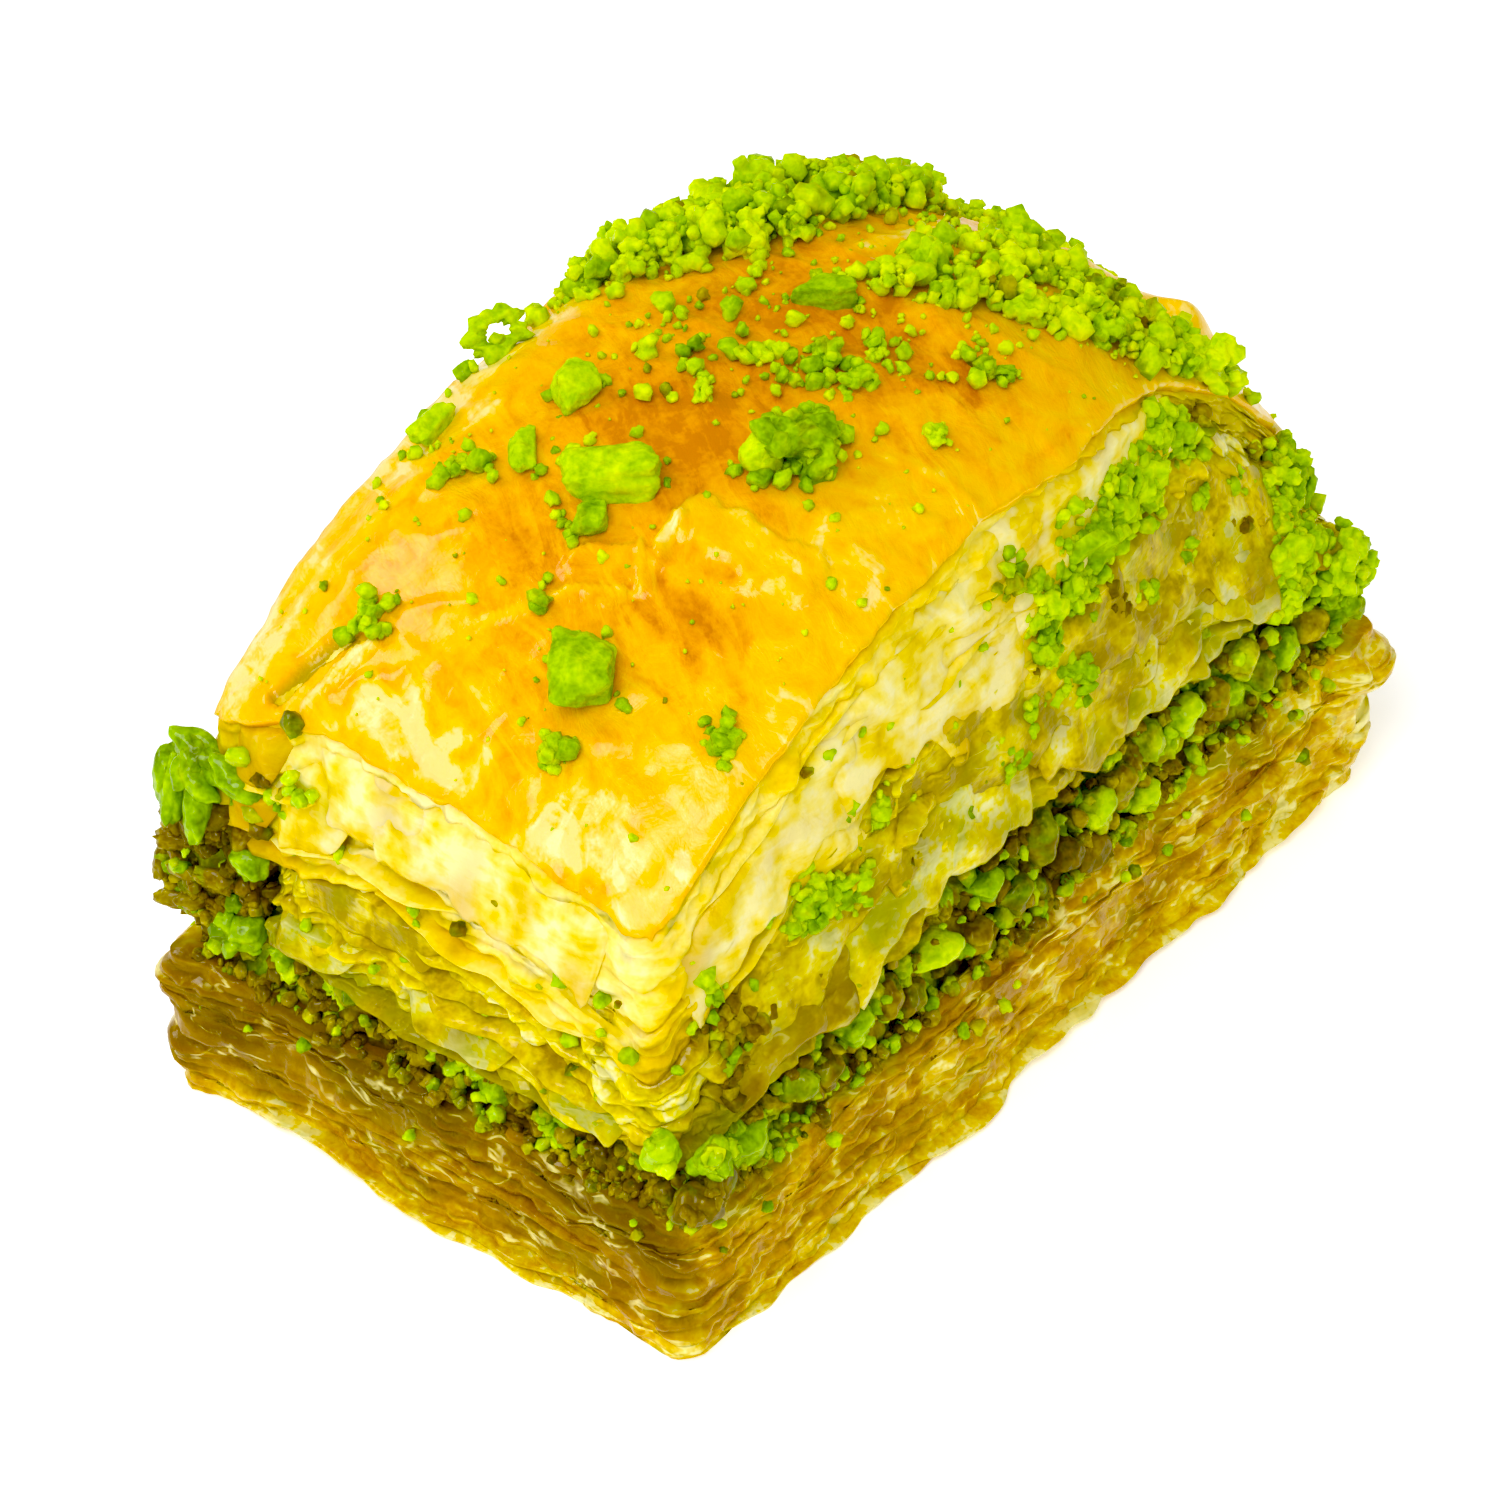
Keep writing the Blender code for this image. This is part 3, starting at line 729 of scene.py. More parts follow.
# %% Leaf strips
LEAF_THICKNESS = 0.16
CURTAIN_CORNER = 1.8
SIDES = {"near": (-1, 0), "right": (0, -1), "far": (1, 0), "left": (0, 1)}
STRIP_STEP = 0.22


def side_place(side, along, insets, lean, rises):
    """The point of a stack's side at a place along it in mm, with the outward direction."""
    out_x, out_y = SIDES[side]
    u = out_x if out_x else along / (LENGTH / 2)
    v = out_y if out_y else along / (WIDTH / 2)
    x, y = plan_point(insets, lean, max(-1.0, min(1.0, u)), max(-1.0, min(1.0, v)), rises)
    return x, y, out_x, out_y


def strip_grid(name, start, end, across):
    start_afresh()
    cells = max(6, round((end - start) / STRIP_STEP))
    bpy.ops.mesh.primitive_grid_add(x_subdivisions=cells, y_subdivisions=across, size=2.0)
    return take_new_object(name)


def ledge_leaf(stack, side, start, end, rises, reach, droop, tone, seed):
    """A leaf that juts out of a stack and tapers to nothing at its two ends."""
    strip = strip_grid("leaf", start, end, 5)
    tones = []
    for vertex in strip.data.vertices:
        share, out = (vertex.co.x + 1) / 2, (vertex.co.y + 1) / 2
        along = mix(start, end, share)
        x, y, out_x, out_y = side_place(side, along, stack.insets, stack.lean, rises)
        taper = smooth(share / 0.22) * smooth((1 - share) / 0.22)
        edge = reach * taper * (1 + 1.1 * wander(x, y, 0, 3.6, seed) + 0.3 * wander(x, y, 0, 1.2, seed + 1))
        distance = mix(-0.7, edge, out)
        z = mix(stack.low(x, y), stack.high(x, y), rises)
        z += stack.sway * 0.8 * wander(x, y, 0, 5.0, seed + 2) + 0.12 * wander(x, y, 0, 1.8, seed + 3)
        z -= droop * out * out * taper
        x, y = x + out_x * distance, y + out_y * distance
        if stack.pushed:
            x, y = pushed_in(x, y, z)
        vertex.co = Vector((x, y, max(z, LEAF_THICKNESS / 2))) * MM
        shade = 0.25 * wander(x, y, 0, 1.5, seed + 4)
        # Painted shade: red darkens the leaf towards the stack, where it tucks in.
        tones.append((clamp(tone[0] + 0.2 * (1 - out)), clamp(tone[1] + shade), clamp(tone[2] - shade)))
    keep_tones(strip.data, tones)
    return strip


def curtain_leaf(stack, side, start, end, top, bottom, flare, tone, seed):
    """A wet leaf that hangs over the side of a stack from one height to another, with soft folds."""
    strip = strip_grid("leaf", start, end, 26)
    rounding = min(0.45, CURTAIN_CORNER / (end - start))
    tones = []
    for vertex in strip.data.vertices:
        share, down = (vertex.co.x + 1) / 2, (vertex.co.y + 1) / 2
        along = mix(start, end, share)
        taper = smooth(share / rounding) * smooth((1 - share) / rounding)
        torn = 0.35 * wander(along, 0, 0, 5.0, seed) + 0.2 * wander(along, 0, 0, 1.8, seed + 8)
        hem = mix(top, bottom, taper * (0.85 + torn + 0.05 * wander(along, 0, 0, 0.8, seed + 1)))
        rises = mix(top, hem, down)
        x, y, out_x, out_y = side_place(side, along, stack.insets, stack.lean, rises)
        z = mix(stack.low(x, y), stack.high(x, y), rises)
        fold = 0.4 * wander(0.55 * along + 0.8 * z, 0.5 * z, 0, 2.4, seed + 2)
        wrinkle = 0.2 * wander(along, z, 0, 1.6, seed + 3) + 0.07 * wander(along, z, 0, 0.6, seed + 7)
        shelter = smooth(down / 0.15) * taper
        distance = mix(-0.35, 0.42 + fold + wrinkle + flare * (down**3 - 0.6 * down**8), shelter)
        x, y = x + out_x * distance, y + out_y * distance
        if stack.pushed:
            x, y = pushed_in(x, y, z)
        vertex.co = Vector((x, y, z)) * MM
        shade = 0.6 * wander(along, z, 0, 2.0, seed + 4) + 0.4 * wander(along, z, 0, 0.7, seed + 5)
        soaked = 0.9 * max(0.0, wander(along, z, 0, 3.0, seed + 9) - 0.08)
        # Red darkens towards the hem; as painted shade it also darkens where a fold lies in and lightens where it
        # stands out.
        tones.append((clamp(tone[0] + 0.15 * down - 0.3 * fold + soaked), clamp(tone[1] + shade),
                      clamp(tone[2] + 0.6 * wander(along, z, 0, 2.4, seed + 6))))
    keep_tones(strip.data, tones)
    return strip


def join_leaves(strips, name):
    """Joins the strips to one piece and gives it the thickness of a leaf."""
    sheet = join_pieces(strips, name)
    apply_modifier(sheet, "SOLIDIFY", "Thickness", thickness=LEAF_THICKNESS * MM, offset=0.0)
    return sheet


print("a leaf is", LEAF_THICKNESS, "mm thick here, as coarse as it needs to be to show")

# %% [markdown]
# The leaves are placed where the photograph shows them, and the two hidden sides get a few of their own.

# %% Loose leaves of the puffed block
DRY, HALF_DRY, WET = (0.1, 0.72, 0.0), (0.15, 0.55, 0.15), (0.2, 0.35, 0.3)
# The pale grey tone is partly the leaf's colour and partly painted highlight of wet syrup.
OLIVE, GREY_AND_SHEEN = (0.4, 0.3, 0.9), (0.1, 0.8, 0.6)
BRUISED, SCORCHED = (0.6, 0.35, 0.3), (0.55, 0.35, 0.2)
puffed_loose = join_leaves([
    ledge_leaf(puffed_stack, "near", -12.5, 3.0, 0.06, 0.7, 0.25, HALF_DRY, 1),
    ledge_leaf(puffed_stack, "near", -3.0, 11.5, 0.24, 0.55, 0.2, DRY, 2),
    curtain_leaf(puffed_stack, "near", -13.0, 4.0, 0.95, 0.3, 0.3, DRY, 3),
    curtain_leaf(puffed_stack, "near", -2.0, 7.5, 0.93, 0.4, 0.3, DRY, 4),
    curtain_leaf(puffed_stack, "near", 8.6, 13.6, 0.99, 0.5, 0.3, SCORCHED, 51),
    curtain_leaf(puffed_stack, "near", 3.4, 10.4, 0.8, 0.25, 0.3, HALF_DRY, 54),
    curtain_leaf(puffed_stack, "near", 9.0, 13.8, 0.5, 0.15, 0.5, BRUISED, 55),
    ledge_leaf(puffed_stack, "near", 6.0, 13.5, 0.62, 0.8, 0.5, HALF_DRY, 53),
    ledge_leaf(puffed_stack, "right", -25.0, -8.0, 0.1, 0.6, 0.3, HALF_DRY, 6),
    ledge_leaf(puffed_stack, "right", -24.0, -12.0, 0.4, 0.5, 0.25, DRY, 7),
    ledge_leaf(puffed_stack, "right", -16.0, 2.0, 0.6, 0.6, 0.3, DRY, 8),
    ledge_leaf(puffed_stack, "right", -11.0, 6.0, 0.32, 0.7, 0.4, HALF_DRY, 9),
    ledge_leaf(puffed_stack, "right", -25.0, -4.0, 0.8, 0.35, 0.2, DRY, 10),
    ledge_leaf(puffed_stack, "left", -22.0, 2.0, 0.3, 0.6, 0.4, HALF_DRY, 11),
    ledge_leaf(puffed_stack, "left", -6.0, 20.0, 0.6, 0.5, 0.3, HALF_DRY, 12),
    ledge_leaf(puffed_stack, "far", -11.0, 7.0, 0.4, 0.6, 0.3, HALF_DRY, 13),
    curtain_leaf(puffed_stack, "right", -2.0, 15.5, 0.95, -0.1, 0.5, DRY, 14),
    curtain_leaf(puffed_stack, "right", -15.0, 1.0, 0.8, -0.3, 0.7, DRY, 15),
    curtain_leaf(puffed_stack, "right", -25.0, -11.0, 0.75, -0.05, 0.5, DRY, 16),
    curtain_leaf(puffed_stack, "right", -9.0, 5.0, 0.5, -0.45, 0.5, HALF_DRY, 17),
    curtain_leaf(puffed_stack, "right", -20.0, -10.0, 0.35, -0.3, 0.5, HALF_DRY, 18),
], "puffed_loose_leaves")
print("loose puffed leaves:", len(puffed_loose.data.vertices), "vertices")

# %% [markdown]
# The soaked leaves are limp, so most of theirs hang down as curtains. Some are grey and pale, partly
# their own colour and partly painted highlight of wet syrup, and over the nuts they take up an olive stain.

# %% Loose leaves of the soaked stack
soaked_loose = join_leaves([
    curtain_leaf(middle_stack, "near", -2.0, 9.0, 0.97, 0.6, 0.3, WET, 21),
    ledge_leaf(middle_stack, "near", -12.0, 2.0, 0.82, 0.7, 0.3, HALF_DRY, 39),
    ledge_leaf(middle_stack, "near", -6.0, 7.0, 0.6, 0.9, 0.5, WET, 40),
    ledge_leaf(middle_stack, "near", -13.5, 1.0, 0.5, 1.1, 0.6, WET, 22),
    curtain_leaf(middle_stack, "near", 3.5, 11.0, 0.42, 0.1, 0.6, GREY_AND_SHEEN, 23),
    curtain_leaf(middle_stack, "near", -6.0, 2.0, 0.36, -0.05, 0.6, GREY_AND_SHEEN, 24),
    curtain_leaf(middle_stack, "near", -13.0, -6.5, 0.4, 0.0, 0.6, GREY_AND_SHEEN, 52),
    ledge_leaf(middle_stack, "near", -13.5, -2.0, 0.22, 1.1, 0.6, HALF_DRY, 25),
    ledge_leaf(middle_stack, "near", -11.0, 11.0, 0.04, 0.7, 0.6, OLIVE, 26),
    curtain_leaf(middle_stack, "right", -25.0, -9.0, 0.98, 0.35, 0.5, WET, 27),
    curtain_leaf(middle_stack, "right", -24.0, -13.0, 0.5, 0.05, 0.6, BRUISED, 28),
    curtain_leaf(middle_stack, "right", -16.0, 0.0, 0.62, 0.02, 0.9, GREY_AND_SHEEN, 29),
    curtain_leaf(middle_stack, "right", -13.0, 9.0, 0.97, 0.3, 0.6, WET, 30),
    curtain_leaf(middle_stack, "right", -2.0, 16.0, 0.9, 0.12, 0.8, WET, 31),
    curtain_leaf(middle_stack, "right", 6.0, 25.0, 0.95, 0.15, 0.7, WET, 32),
    curtain_leaf(middle_stack, "right", 2.0, 20.0, 0.5, 0.02, 0.9, GREY_AND_SHEEN, 33),
    curtain_leaf(middle_stack, "left", -18.0, 4.0, 0.9, 0.3, 0.5, WET, 34),
    curtain_leaf(middle_stack, "left", -4.0, 22.0, 0.7, 0.1, 0.6, OLIVE, 35),
    ledge_leaf(middle_stack, "left", -16.0, 12.0, 0.5, 0.7, 0.4, WET, 36),
    ledge_leaf(middle_stack, "far", -12.0, 9.0, 0.4, 0.7, 0.4, WET, 37),
    curtain_leaf(middle_stack, "far", -11.0, 11.0, 0.9, 0.3, 0.5, WET, 38),
], "soaked_loose_leaves")
print("loose soaked leaves:", len(soaked_loose.data.vertices), "vertices")

# %% [markdown]
# The slab is one compact block. Only the rims of some leaves have lifted, most of them near the floor,
# where the piece was slid off its tray.

# %% Loose leaves of the slab
base_loose = join_leaves([
    ledge_leaf(base_stack, "near", -14.0, 14.5, 0.035, 0.7, 0.1, (0.1, 0.9, 0.1), 41),
    ledge_leaf(base_stack, "near", -9.0, 11.0, 0.1, 0.5, 0.2, (0.2, 0.8, 0.1), 42),
    ledge_leaf(base_stack, "right", -25.0, -6.0, 0.035, 0.6, 0.1, (0.1, 0.8, 0.2), 43),
    ledge_leaf(base_stack, "right", -12.0, 6.0, 0.07, 0.8, 0.2, (0.1, 0.9, 0.2), 44),
    ledge_leaf(base_stack, "right", 2.0, 25.0, 0.12, 0.7, 0.3, (0.1, 0.8, 0.1), 45),
    ledge_leaf(base_stack, "right", 8.0, 25.5, 0.6, 0.6, 0.3, (0.2, 0.6, 0.1), 46),
    ledge_leaf(base_stack, "right", -20.0, -2.0, 0.5, 0.4, 0.3, (0.3, 0.5, 0.1), 47),
    ledge_leaf(base_stack, "near", -13.0, 6.0, 0.55, 0.35, 0.2, (0.5, 0.4, 0.0), 48),
    ledge_leaf(base_stack, "left", -22.0, 20.0, 0.08, 0.7, 0.2, (0.2, 0.8, 0.1), 49),
    ledge_leaf(base_stack, "far", -13.0, 13.0, 0.1, 0.7, 0.2, (0.2, 0.8, 0.1), 50),
], "base_loose_leaves")
print("loose slab leaves:", len(base_loose.data.vertices), "vertices")

# %% [markdown]
# ## Kinds of nut
# A pistachio is crushed, not cut, so it breaks into lumps with a few flat faces. A cube is trimmed by
# planes with Bisect, Remesh turns it into an even skin, and smoothing rounds its edges off. Noise then
# dents the skin. Every kind fills a box of 1 unit, so that its size can be given later in mm.

# %% Nut kinds
BLOCK_CUTS = 6
ROUNDING = 0.035


def fill_unit_box(lump):
    """Centres the lump and scales it to 1 unit along each axis, so that a spot's size is its true size."""
    for axis in range(3):
        values = [vertex.co[axis] for vertex in lump.data.vertices]
        middle, span = (max(values) + min(values)) / 2, max(values) - min(values)
        for vertex in lump.data.vertices:
            vertex.co[axis] = (vertex.co[axis] - middle) / span


def broken_nut(name, seed, voxel, rough):
    """A rounded block 1 unit across with a few flat broken faces, more or less rough."""
    draw = random.Random(seed)
    start_afresh()
    bpy.ops.mesh.primitive_cube_add(size=1.0)
    lump = take_new_object(name)
    bpy.ops.object.mode_set(mode="EDIT")
    for _ in range(BLOCK_CUTS):
        facing = Vector([draw.uniform(-1, 1) for _ in range(3)]).normalized()
        bpy.ops.mesh.select_all(action="SELECT")
        bpy.ops.mesh.bisect(plane_co=facing * draw.uniform(0.38, 0.56), plane_no=facing, use_fill=True,
                            clear_outer=True)
    bpy.ops.object.mode_set(mode="OBJECT")
    apply_modifier(lump, "REMESH", "One skin", mode="VOXEL", voxel_size=voxel)
    bpy.ops.object.mode_set(mode="EDIT")
    bpy.ops.mesh.select_all(action="SELECT")
    bpy.ops.mesh.vertices_smooth(factor=0.5, repeat=round(ROUNDING / voxel**2))
    bpy.ops.object.mode_set(mode="OBJECT")
    for vertex in lump.data.vertices:
        dent = noise.noise(vertex.co * 2.6 + Vector((seed, 0, 0)))
        nick = noise.noise(vertex.co * 6.5 + Vector((0, seed, 0)))
        fine = noise.noise(vertex.co * 15 + Vector((0, 0, seed)))
        vertex.co *= 1 + rough * (0.3 * dent + 0.14 * nick + 0.07 * fine)
    fill_unit_box(lump)
    return lump


print("a broken nut is trimmed by", BLOCK_CUTS, "planes")

# %% [markdown]
# A crumb repeats hundreds of times, so it is an icosphere of 80 faces that swells into a few lobes. A
# sliver is a seed split along its length: it keeps more faces, because it is smooth and large.

# %% Crumb and sliver kinds
def crumb_kind(name, seed, subdivisions):
    """A crumb 1 unit across: an icosphere that swells into a few lobes."""
    start_afresh()
    bpy.ops.mesh.primitive_ico_sphere_add(subdivisions=subdivisions, radius=0.5)
    crumb = take_new_object(name)
    draw = random.Random(seed)
    lobes = [(Vector([draw.uniform(-1, 1) for _ in range(3)]).normalized(), draw.uniform(0.15, 0.5))
             for _ in range(6)]
    for vertex in crumb.data.vertices:
        facing = vertex.co.normalized()
        swell = sum(size * math.exp((facing.dot(way) - 1) / 0.15) for way, size in lobes)
        nick = noise.noise(facing * 3.0 + Vector((seed * 1.7, 0, 3)))
        vertex.co = facing * (0.3 + 0.55 * swell + 0.2 * nick)
    fill_unit_box(crumb)
    return crumb


def sliver_kind(name, seed):
    """A smooth piece of nut 1 unit across, for the slivers."""
    start_afresh()
    bpy.ops.mesh.primitive_ico_sphere_add(subdivisions=4, radius=0.5)
    sliver = take_new_object(name)
    for vertex in sliver.data.vertices:
        dent = noise.noise(vertex.co * 2.2 + Vector((seed, 0, 0)))
        nick = noise.noise(vertex.co * 6 + Vector((0, seed, 0)))
        vertex.co *= 1 + 0.45 * dent + 0.1 * nick
    fill_unit_box(sliver)
    return sliver


print("crumbs and slivers start as icospheres")

# %% [markdown]
# Syrup sticks small grains together. A clump is a few turned cubes that Remesh grows into one skin and
# Decimate brings down to a few dozen faces. A knob is a larger lump of many fine grains, made the same way
# with more faces, because only a few dozen of them lie about. One shaving has curled up into a lumpy ring.

# %% Clump and curl kinds
CLUMP = {"count": 6, "sizes": (0.34, 0.52), "spread": 0.25, "voxel": 0.06, "smooths": 4, "faces": 90}
KNOB = {"count": 56, "sizes": (0.11, 0.25), "spread": 0.36, "voxel": 0.036, "smooths": 2, "faces": 1900}


def clump_kind(name, seed, count, sizes, spread, voxel, smooths, faces):
    """Grains pressed together into one crumb or knob, 1 unit across."""
    draw = random.Random(seed)
    grains = []
    for _ in range(count):
        start_afresh()
        bpy.ops.mesh.primitive_cube_add(size=draw.uniform(*sizes),
                                        location=[draw.uniform(-spread, spread) for _ in range(3)],
                                        rotation=[draw.uniform(0, math.tau) for _ in range(3)])
        bpy.ops.object.transform_apply()
        grains.append(take_new_object(name))
    clump = join_pieces(grains, name)
    apply_modifier(clump, "REMESH", "One skin", mode="VOXEL", voxel_size=voxel)
    bpy.ops.object.mode_set(mode="EDIT")
    bpy.ops.mesh.select_all(action="SELECT")
    bpy.ops.mesh.vertices_smooth(factor=0.5, repeat=smooths)
    bpy.ops.object.mode_set(mode="OBJECT")
    apply_modifier(clump, "DECIMATE", "Few faces", ratio=faces / (2 * len(clump.data.polygons)))
    fill_unit_box(clump)
    return clump


def curl_kind(name, seed):
    """A shaving 1 unit across that has curled into a lumpy ring."""
    start_afresh()
    bpy.ops.mesh.primitive_torus_add(major_segments=48, minor_segments=16, major_radius=0.36, minor_radius=0.14)
    curl = take_new_object(name)
    for vertex in curl.data.vertices:
        middle = Vector((vertex.co.x, vertex.co.y, 0.0)).normalized() * 0.36
        dent = noise.noise(middle * 4 + Vector((seed, 0, 0)))
        nick = noise.noise(vertex.co * 7 + Vector((0, seed, 0)))
        vertex.co = middle * (1 + 0.3 * dent) + (vertex.co - middle) * (1 + 1.4 * nick + 0.6 * dent)
    fill_unit_box(curl)
    return curl


print("grains in a clump:", CLUMP["count"], "and in a knob:", KNOB["count"])

# %% [markdown]
# Each kind is made a few times from different seeds, so that no two neighbours look the same.

# %% All kinds of nut
chunk_kinds = [broken_nut(f"chunk_kind_{seed}", seed, 0.07, 0.55) for seed in range(1, 8)]
fine_kinds = [broken_nut(f"fine_kind_{seed}", seed, 0.04, 0.45) for seed in range(11, 18)]
clump_kinds = [clump_kind(f"clump_kind_{seed}", seed, **CLUMP) for seed in range(51, 65)]
knob_kinds = [clump_kind(f"knob_kind_{seed}", seed, **KNOB) for seed in range(81, 87)]
lump_kinds = [crumb_kind(f"lump_kind_{seed}", seed, 3) for seed in range(31, 39)]
crumb_kinds = [crumb_kind(f"crumb_kind_{seed}", seed, 2) for seed in range(1, 13)]
dust_kinds = [crumb_kind(f"dust_kind_{seed}", seed, 1) for seed in range(20, 24)]
sliver_kinds = [sliver_kind(f"sliver_kind_{seed}", seed) for seed in range(71, 75)]
curl_kinds = [curl_kind("curl_kind_41", 41)]
bit_kinds = crumb_kinds + clump_kinds
print("faces of the chunk kinds:", [len(kind.data.polygons) for kind in chunk_kinds])
print("faces of the clumps and knobs:", [len(kind.data.polygons) for kind in clump_kinds + knob_kinds])

# %% [markdown]
# ## Sowing
# A spot says which kind lies where, how large, how turned and in which tone. Each spot gets its own copy
# of the kind's mesh, and all copies of one sowing become one piece. Tones for nuts: red is how dark the
# skin is and the painted shade of pieces deep in the spill, green how bright the flesh is, blue how brown
# it has cooked.

# %% Sowing helpers
GREEN_TONE, SHADED_TONE, BRIGHT_TONE = (0.0, 0.52, 0.0), (0.1, 0.24, 0.05), (0.0, 0.76, 0.0)
# The near black tone for the spill is painted shade, for the pieces that lie in its dark middle.
BROWN_TONE, OLIVE_TONE, HOLLOW_SHADE_TONE = (0.1, 0.42, 0.95), (0.0, 0.46, 0.5), (0.7, 0.3, 0.95)
STICKY_TONE, RED_BROWN_TONE, DRIFT_TONE = (0.3, 0.4, 0.85), (0.5, 0.4, 1.0), (0.0, 0.64, 0.0)


def spot(kinds, draw, place, size, tone, turn=None):
    """A spot in mm. size is one length or three; turn is a turn about Z in degrees, or free if None."""
    if isinstance(size, tuple):
        lengths = size
    else:
        lengths = (size, size * draw.uniform(0.75, 1.0), size * draw.uniform(0.7, 1.0))
    if turn is None:
        turned = Matrix.Rotation(draw.uniform(0, math.tau), 4, Vector([draw.uniform(-1, 1) for _ in range(3)]))
    else:
        turned = Matrix.Rotation(math.radians(turn), 4, "Z")
    scaled = Matrix.Diagonal((*(length * MM for length in lengths), 1.0))
    own_tone = tuple(clamp(value + draw.uniform(-0.26, 0.26)) for value in tone)
    return draw.choice(kinds), Matrix.Translation(Vector(place) * MM) @ turned @ scaled, own_tone


def sow(name, spots):
    heap = bmesh.new()
    tones = []
    for kind, matrix, tone in spots:
        copy = kind.data.copy()
        copy.transform(matrix)
        heap.from_mesh(copy)
        tones.extend([tone] * len(copy.vertices))
        bpy.data.meshes.remove(copy)
    mesh = bpy.data.meshes.new(name)
    heap.to_mesh(mesh)
    heap.free()
    keep_tones(mesh, tones)
    piece = bpy.data.objects.new(name, mesh)
    bpy.context.scene.collection.objects.link(piece)
    return piece


class Settled:
    """Remembers what has been laid, so that the next crumb lies on top of it instead of in it."""
    CELL = 2.0
    OVERLAP = 0.68

    def __init__(self):
        self.cells = {}

    def rest_height(self, x, y, radius, ground):
        column, row = round(x / self.CELL), round(y / self.CELL)
        height = ground + 0.6 * radius
        for near_column in (column - 1, column, column + 1):
            for near_row in (row - 1, row, row + 1):
                for px, py, pz, pr in self.cells.get((near_column, near_row), ()):
                    touching = self.OVERLAP * (radius + pr)
                    apart = math.hypot(x - px, y - py)
                    if apart < touching:
                        height = max(height, pz + math.sqrt(touching**2 - apart**2))
        return height

    def add(self, x, y, z, radius):
        self.cells.setdefault((round(x / self.CELL), round(y / self.CELL)), []).append((x, y, z, radius))


print("tones:", GREEN_TONE, BROWN_TONE, OLIVE_TONE)

# %% [markdown]
# ## The crumbs on the crust
# The large pieces lie where the photograph shows them, at the places that the CAD source uses. The crumbs
# drift along the far left edge and over the far end, two or three deep, and thin out to dust between.

# %% Crust crumbs
# Each is x, y, length, width, height in mm and its turn in degrees
CRUST_CHUNKS = (
    (-10.0, 1.9, 4.5, 2.8, 2.5, -52), (-7.0, 6.3, 2.3, 2.0, 2.0, 60), (-12.4, 0.9, 1.8, 1.5, 1.5, 10),
    (-17.9, -3.0, 3.8, 3.0, 2.7, 35), (-5.9, -3.2, 2.0, 1.8, 2.0, -50),
    (-11.1, 6.0, 2.6, 1.3, 1.2, 40), (4.3, 1.4, 3.0, 1.7, 1.4, -40),
    (-17.0, -10.0, 1.5, 1.2, 1.0, 0), (-10.2, 12.2, 2.4, 1.4, 1.6, 0),
)
# Knobs of fine grains stuck together, in the same way
CRUST_KNOBS = (
    (-4.5, -3.9, 4.2, 3.5, 3.2, -50), (-19.8, 7.6, 2.3, 1.5, 1.3, 25), (0.9, -1.4, 2.4, 1.7, 1.3, 40),
    (0.4, -3.5, 2.1, 1.6, 1.4, -20), (0.5, -7.9, 1.7, 1.3, 1.0, 60), (5.6, -7.2, 2.2, 1.0, 0.8, -50),
    (-4.3, 1.3, 1.9, 1.0, 0.9, 35), (2.4, -3.1, 1.1, 1.0, 0.8, 0), (-12.6, 8.5, 1.3, 1.2, 0.9, 20),
)
# Loose heaps of small crumbs, as x, y, radius along the view, radius across it, height in mm and a count
CRUMB_HEAPS = (
    (-4.2, -4.2, 2.3, 2.2, 1.2, 34), (-19.6, 7.7, 1.6, 1.4, 0.8, 9), (2.4, -3.1, 1.4, 1.6, 0.6, 9),
    (-3.4, 2.4, 1.1, 0.9, 0.5, 6), (-1.9, 0.6, 1.5, 1.2, 0.5, 8), (-1.2, -1.6, 1.4, 1.6, 0.6, 10),
    (-12.4, 8.3, 1.0, 1.5, 0.5, 6), (5.2, -6.6, 1.1, 2.0, 0.4, 9), (7.9, -2.9, 1.2, 1.0, 0.6, 8),
    (-16.2, 0.4, 0.8, 0.8, 0.6, 6), (-21.2, -4.0, 0.8, 0.8, 0.6, 6), (-16.9, -9.8, 0.9, 0.9, 0.7, 7),
)
# Curled shavings that stand on the rim, as x, y, width, height in mm and their turn in degrees
CURLS = ((-5.2, 12.6, 3.3, 2.6, 25),)
TOWARDS_VIEW = (-0.78, -0.625)
LEAN_OF_VIEW = 1.2
KNOB_TRIES, CLUMP_TRIES, CRUMB_TRIES, DUST_TRIES = 420, 5800, 9000, 3400
LEFT_PILE, RIGHT_PILE = 1.6, 1.1
BROWN_SHARE = 0.05
KNOB_SIZES, CLUMP_SIZES, CRUMB_SIZES, DUST_SIZES = (1.9, 3.0), (0.9, 1.9), (0.45, 0.9), (0.2, 0.45)


def nearer_view(x, y, rise):
    """Moves a lump towards the camera by as much as its height lifts it in the picture."""
    return x + TOWARDS_VIEW[0] * LEAN_OF_VIEW * rise, y + TOWARDS_VIEW[1] * LEAN_OF_VIEW * rise


def crumb_density(x, y):
    left_drift = smooth((y - 8.3 + 4.4 * smooth((x + 1) / 8)) / 1.3) * smooth((x + 2) / 2)
    left_rim = 0.5 * smooth((y - 12.2) / 1.2) * smooth((x + 12) / 6)
    right_drift = smooth((x - 6.5 + 0.95 * (y + 3)) / 2) * smooth((1.5 - y) / 2) * smooth((x - 5) / 2)
    right_drift *= 1 - 0.96 * beyond_drift(x - 0.2, y)
    far_end = 0.6 * smooth((x - 19) / 2) * smooth(y / 3)
    middle = 0.1 * smooth((x + 8) / 3) * smooth((9 - abs(y)) / 3)
    return max(left_drift, left_rim, right_drift, far_end, middle, 0.008)


print("pieces named on the crust:", len(CRUST_CHUNKS), "and", len(CRUMB_HEAPS), "heaps")

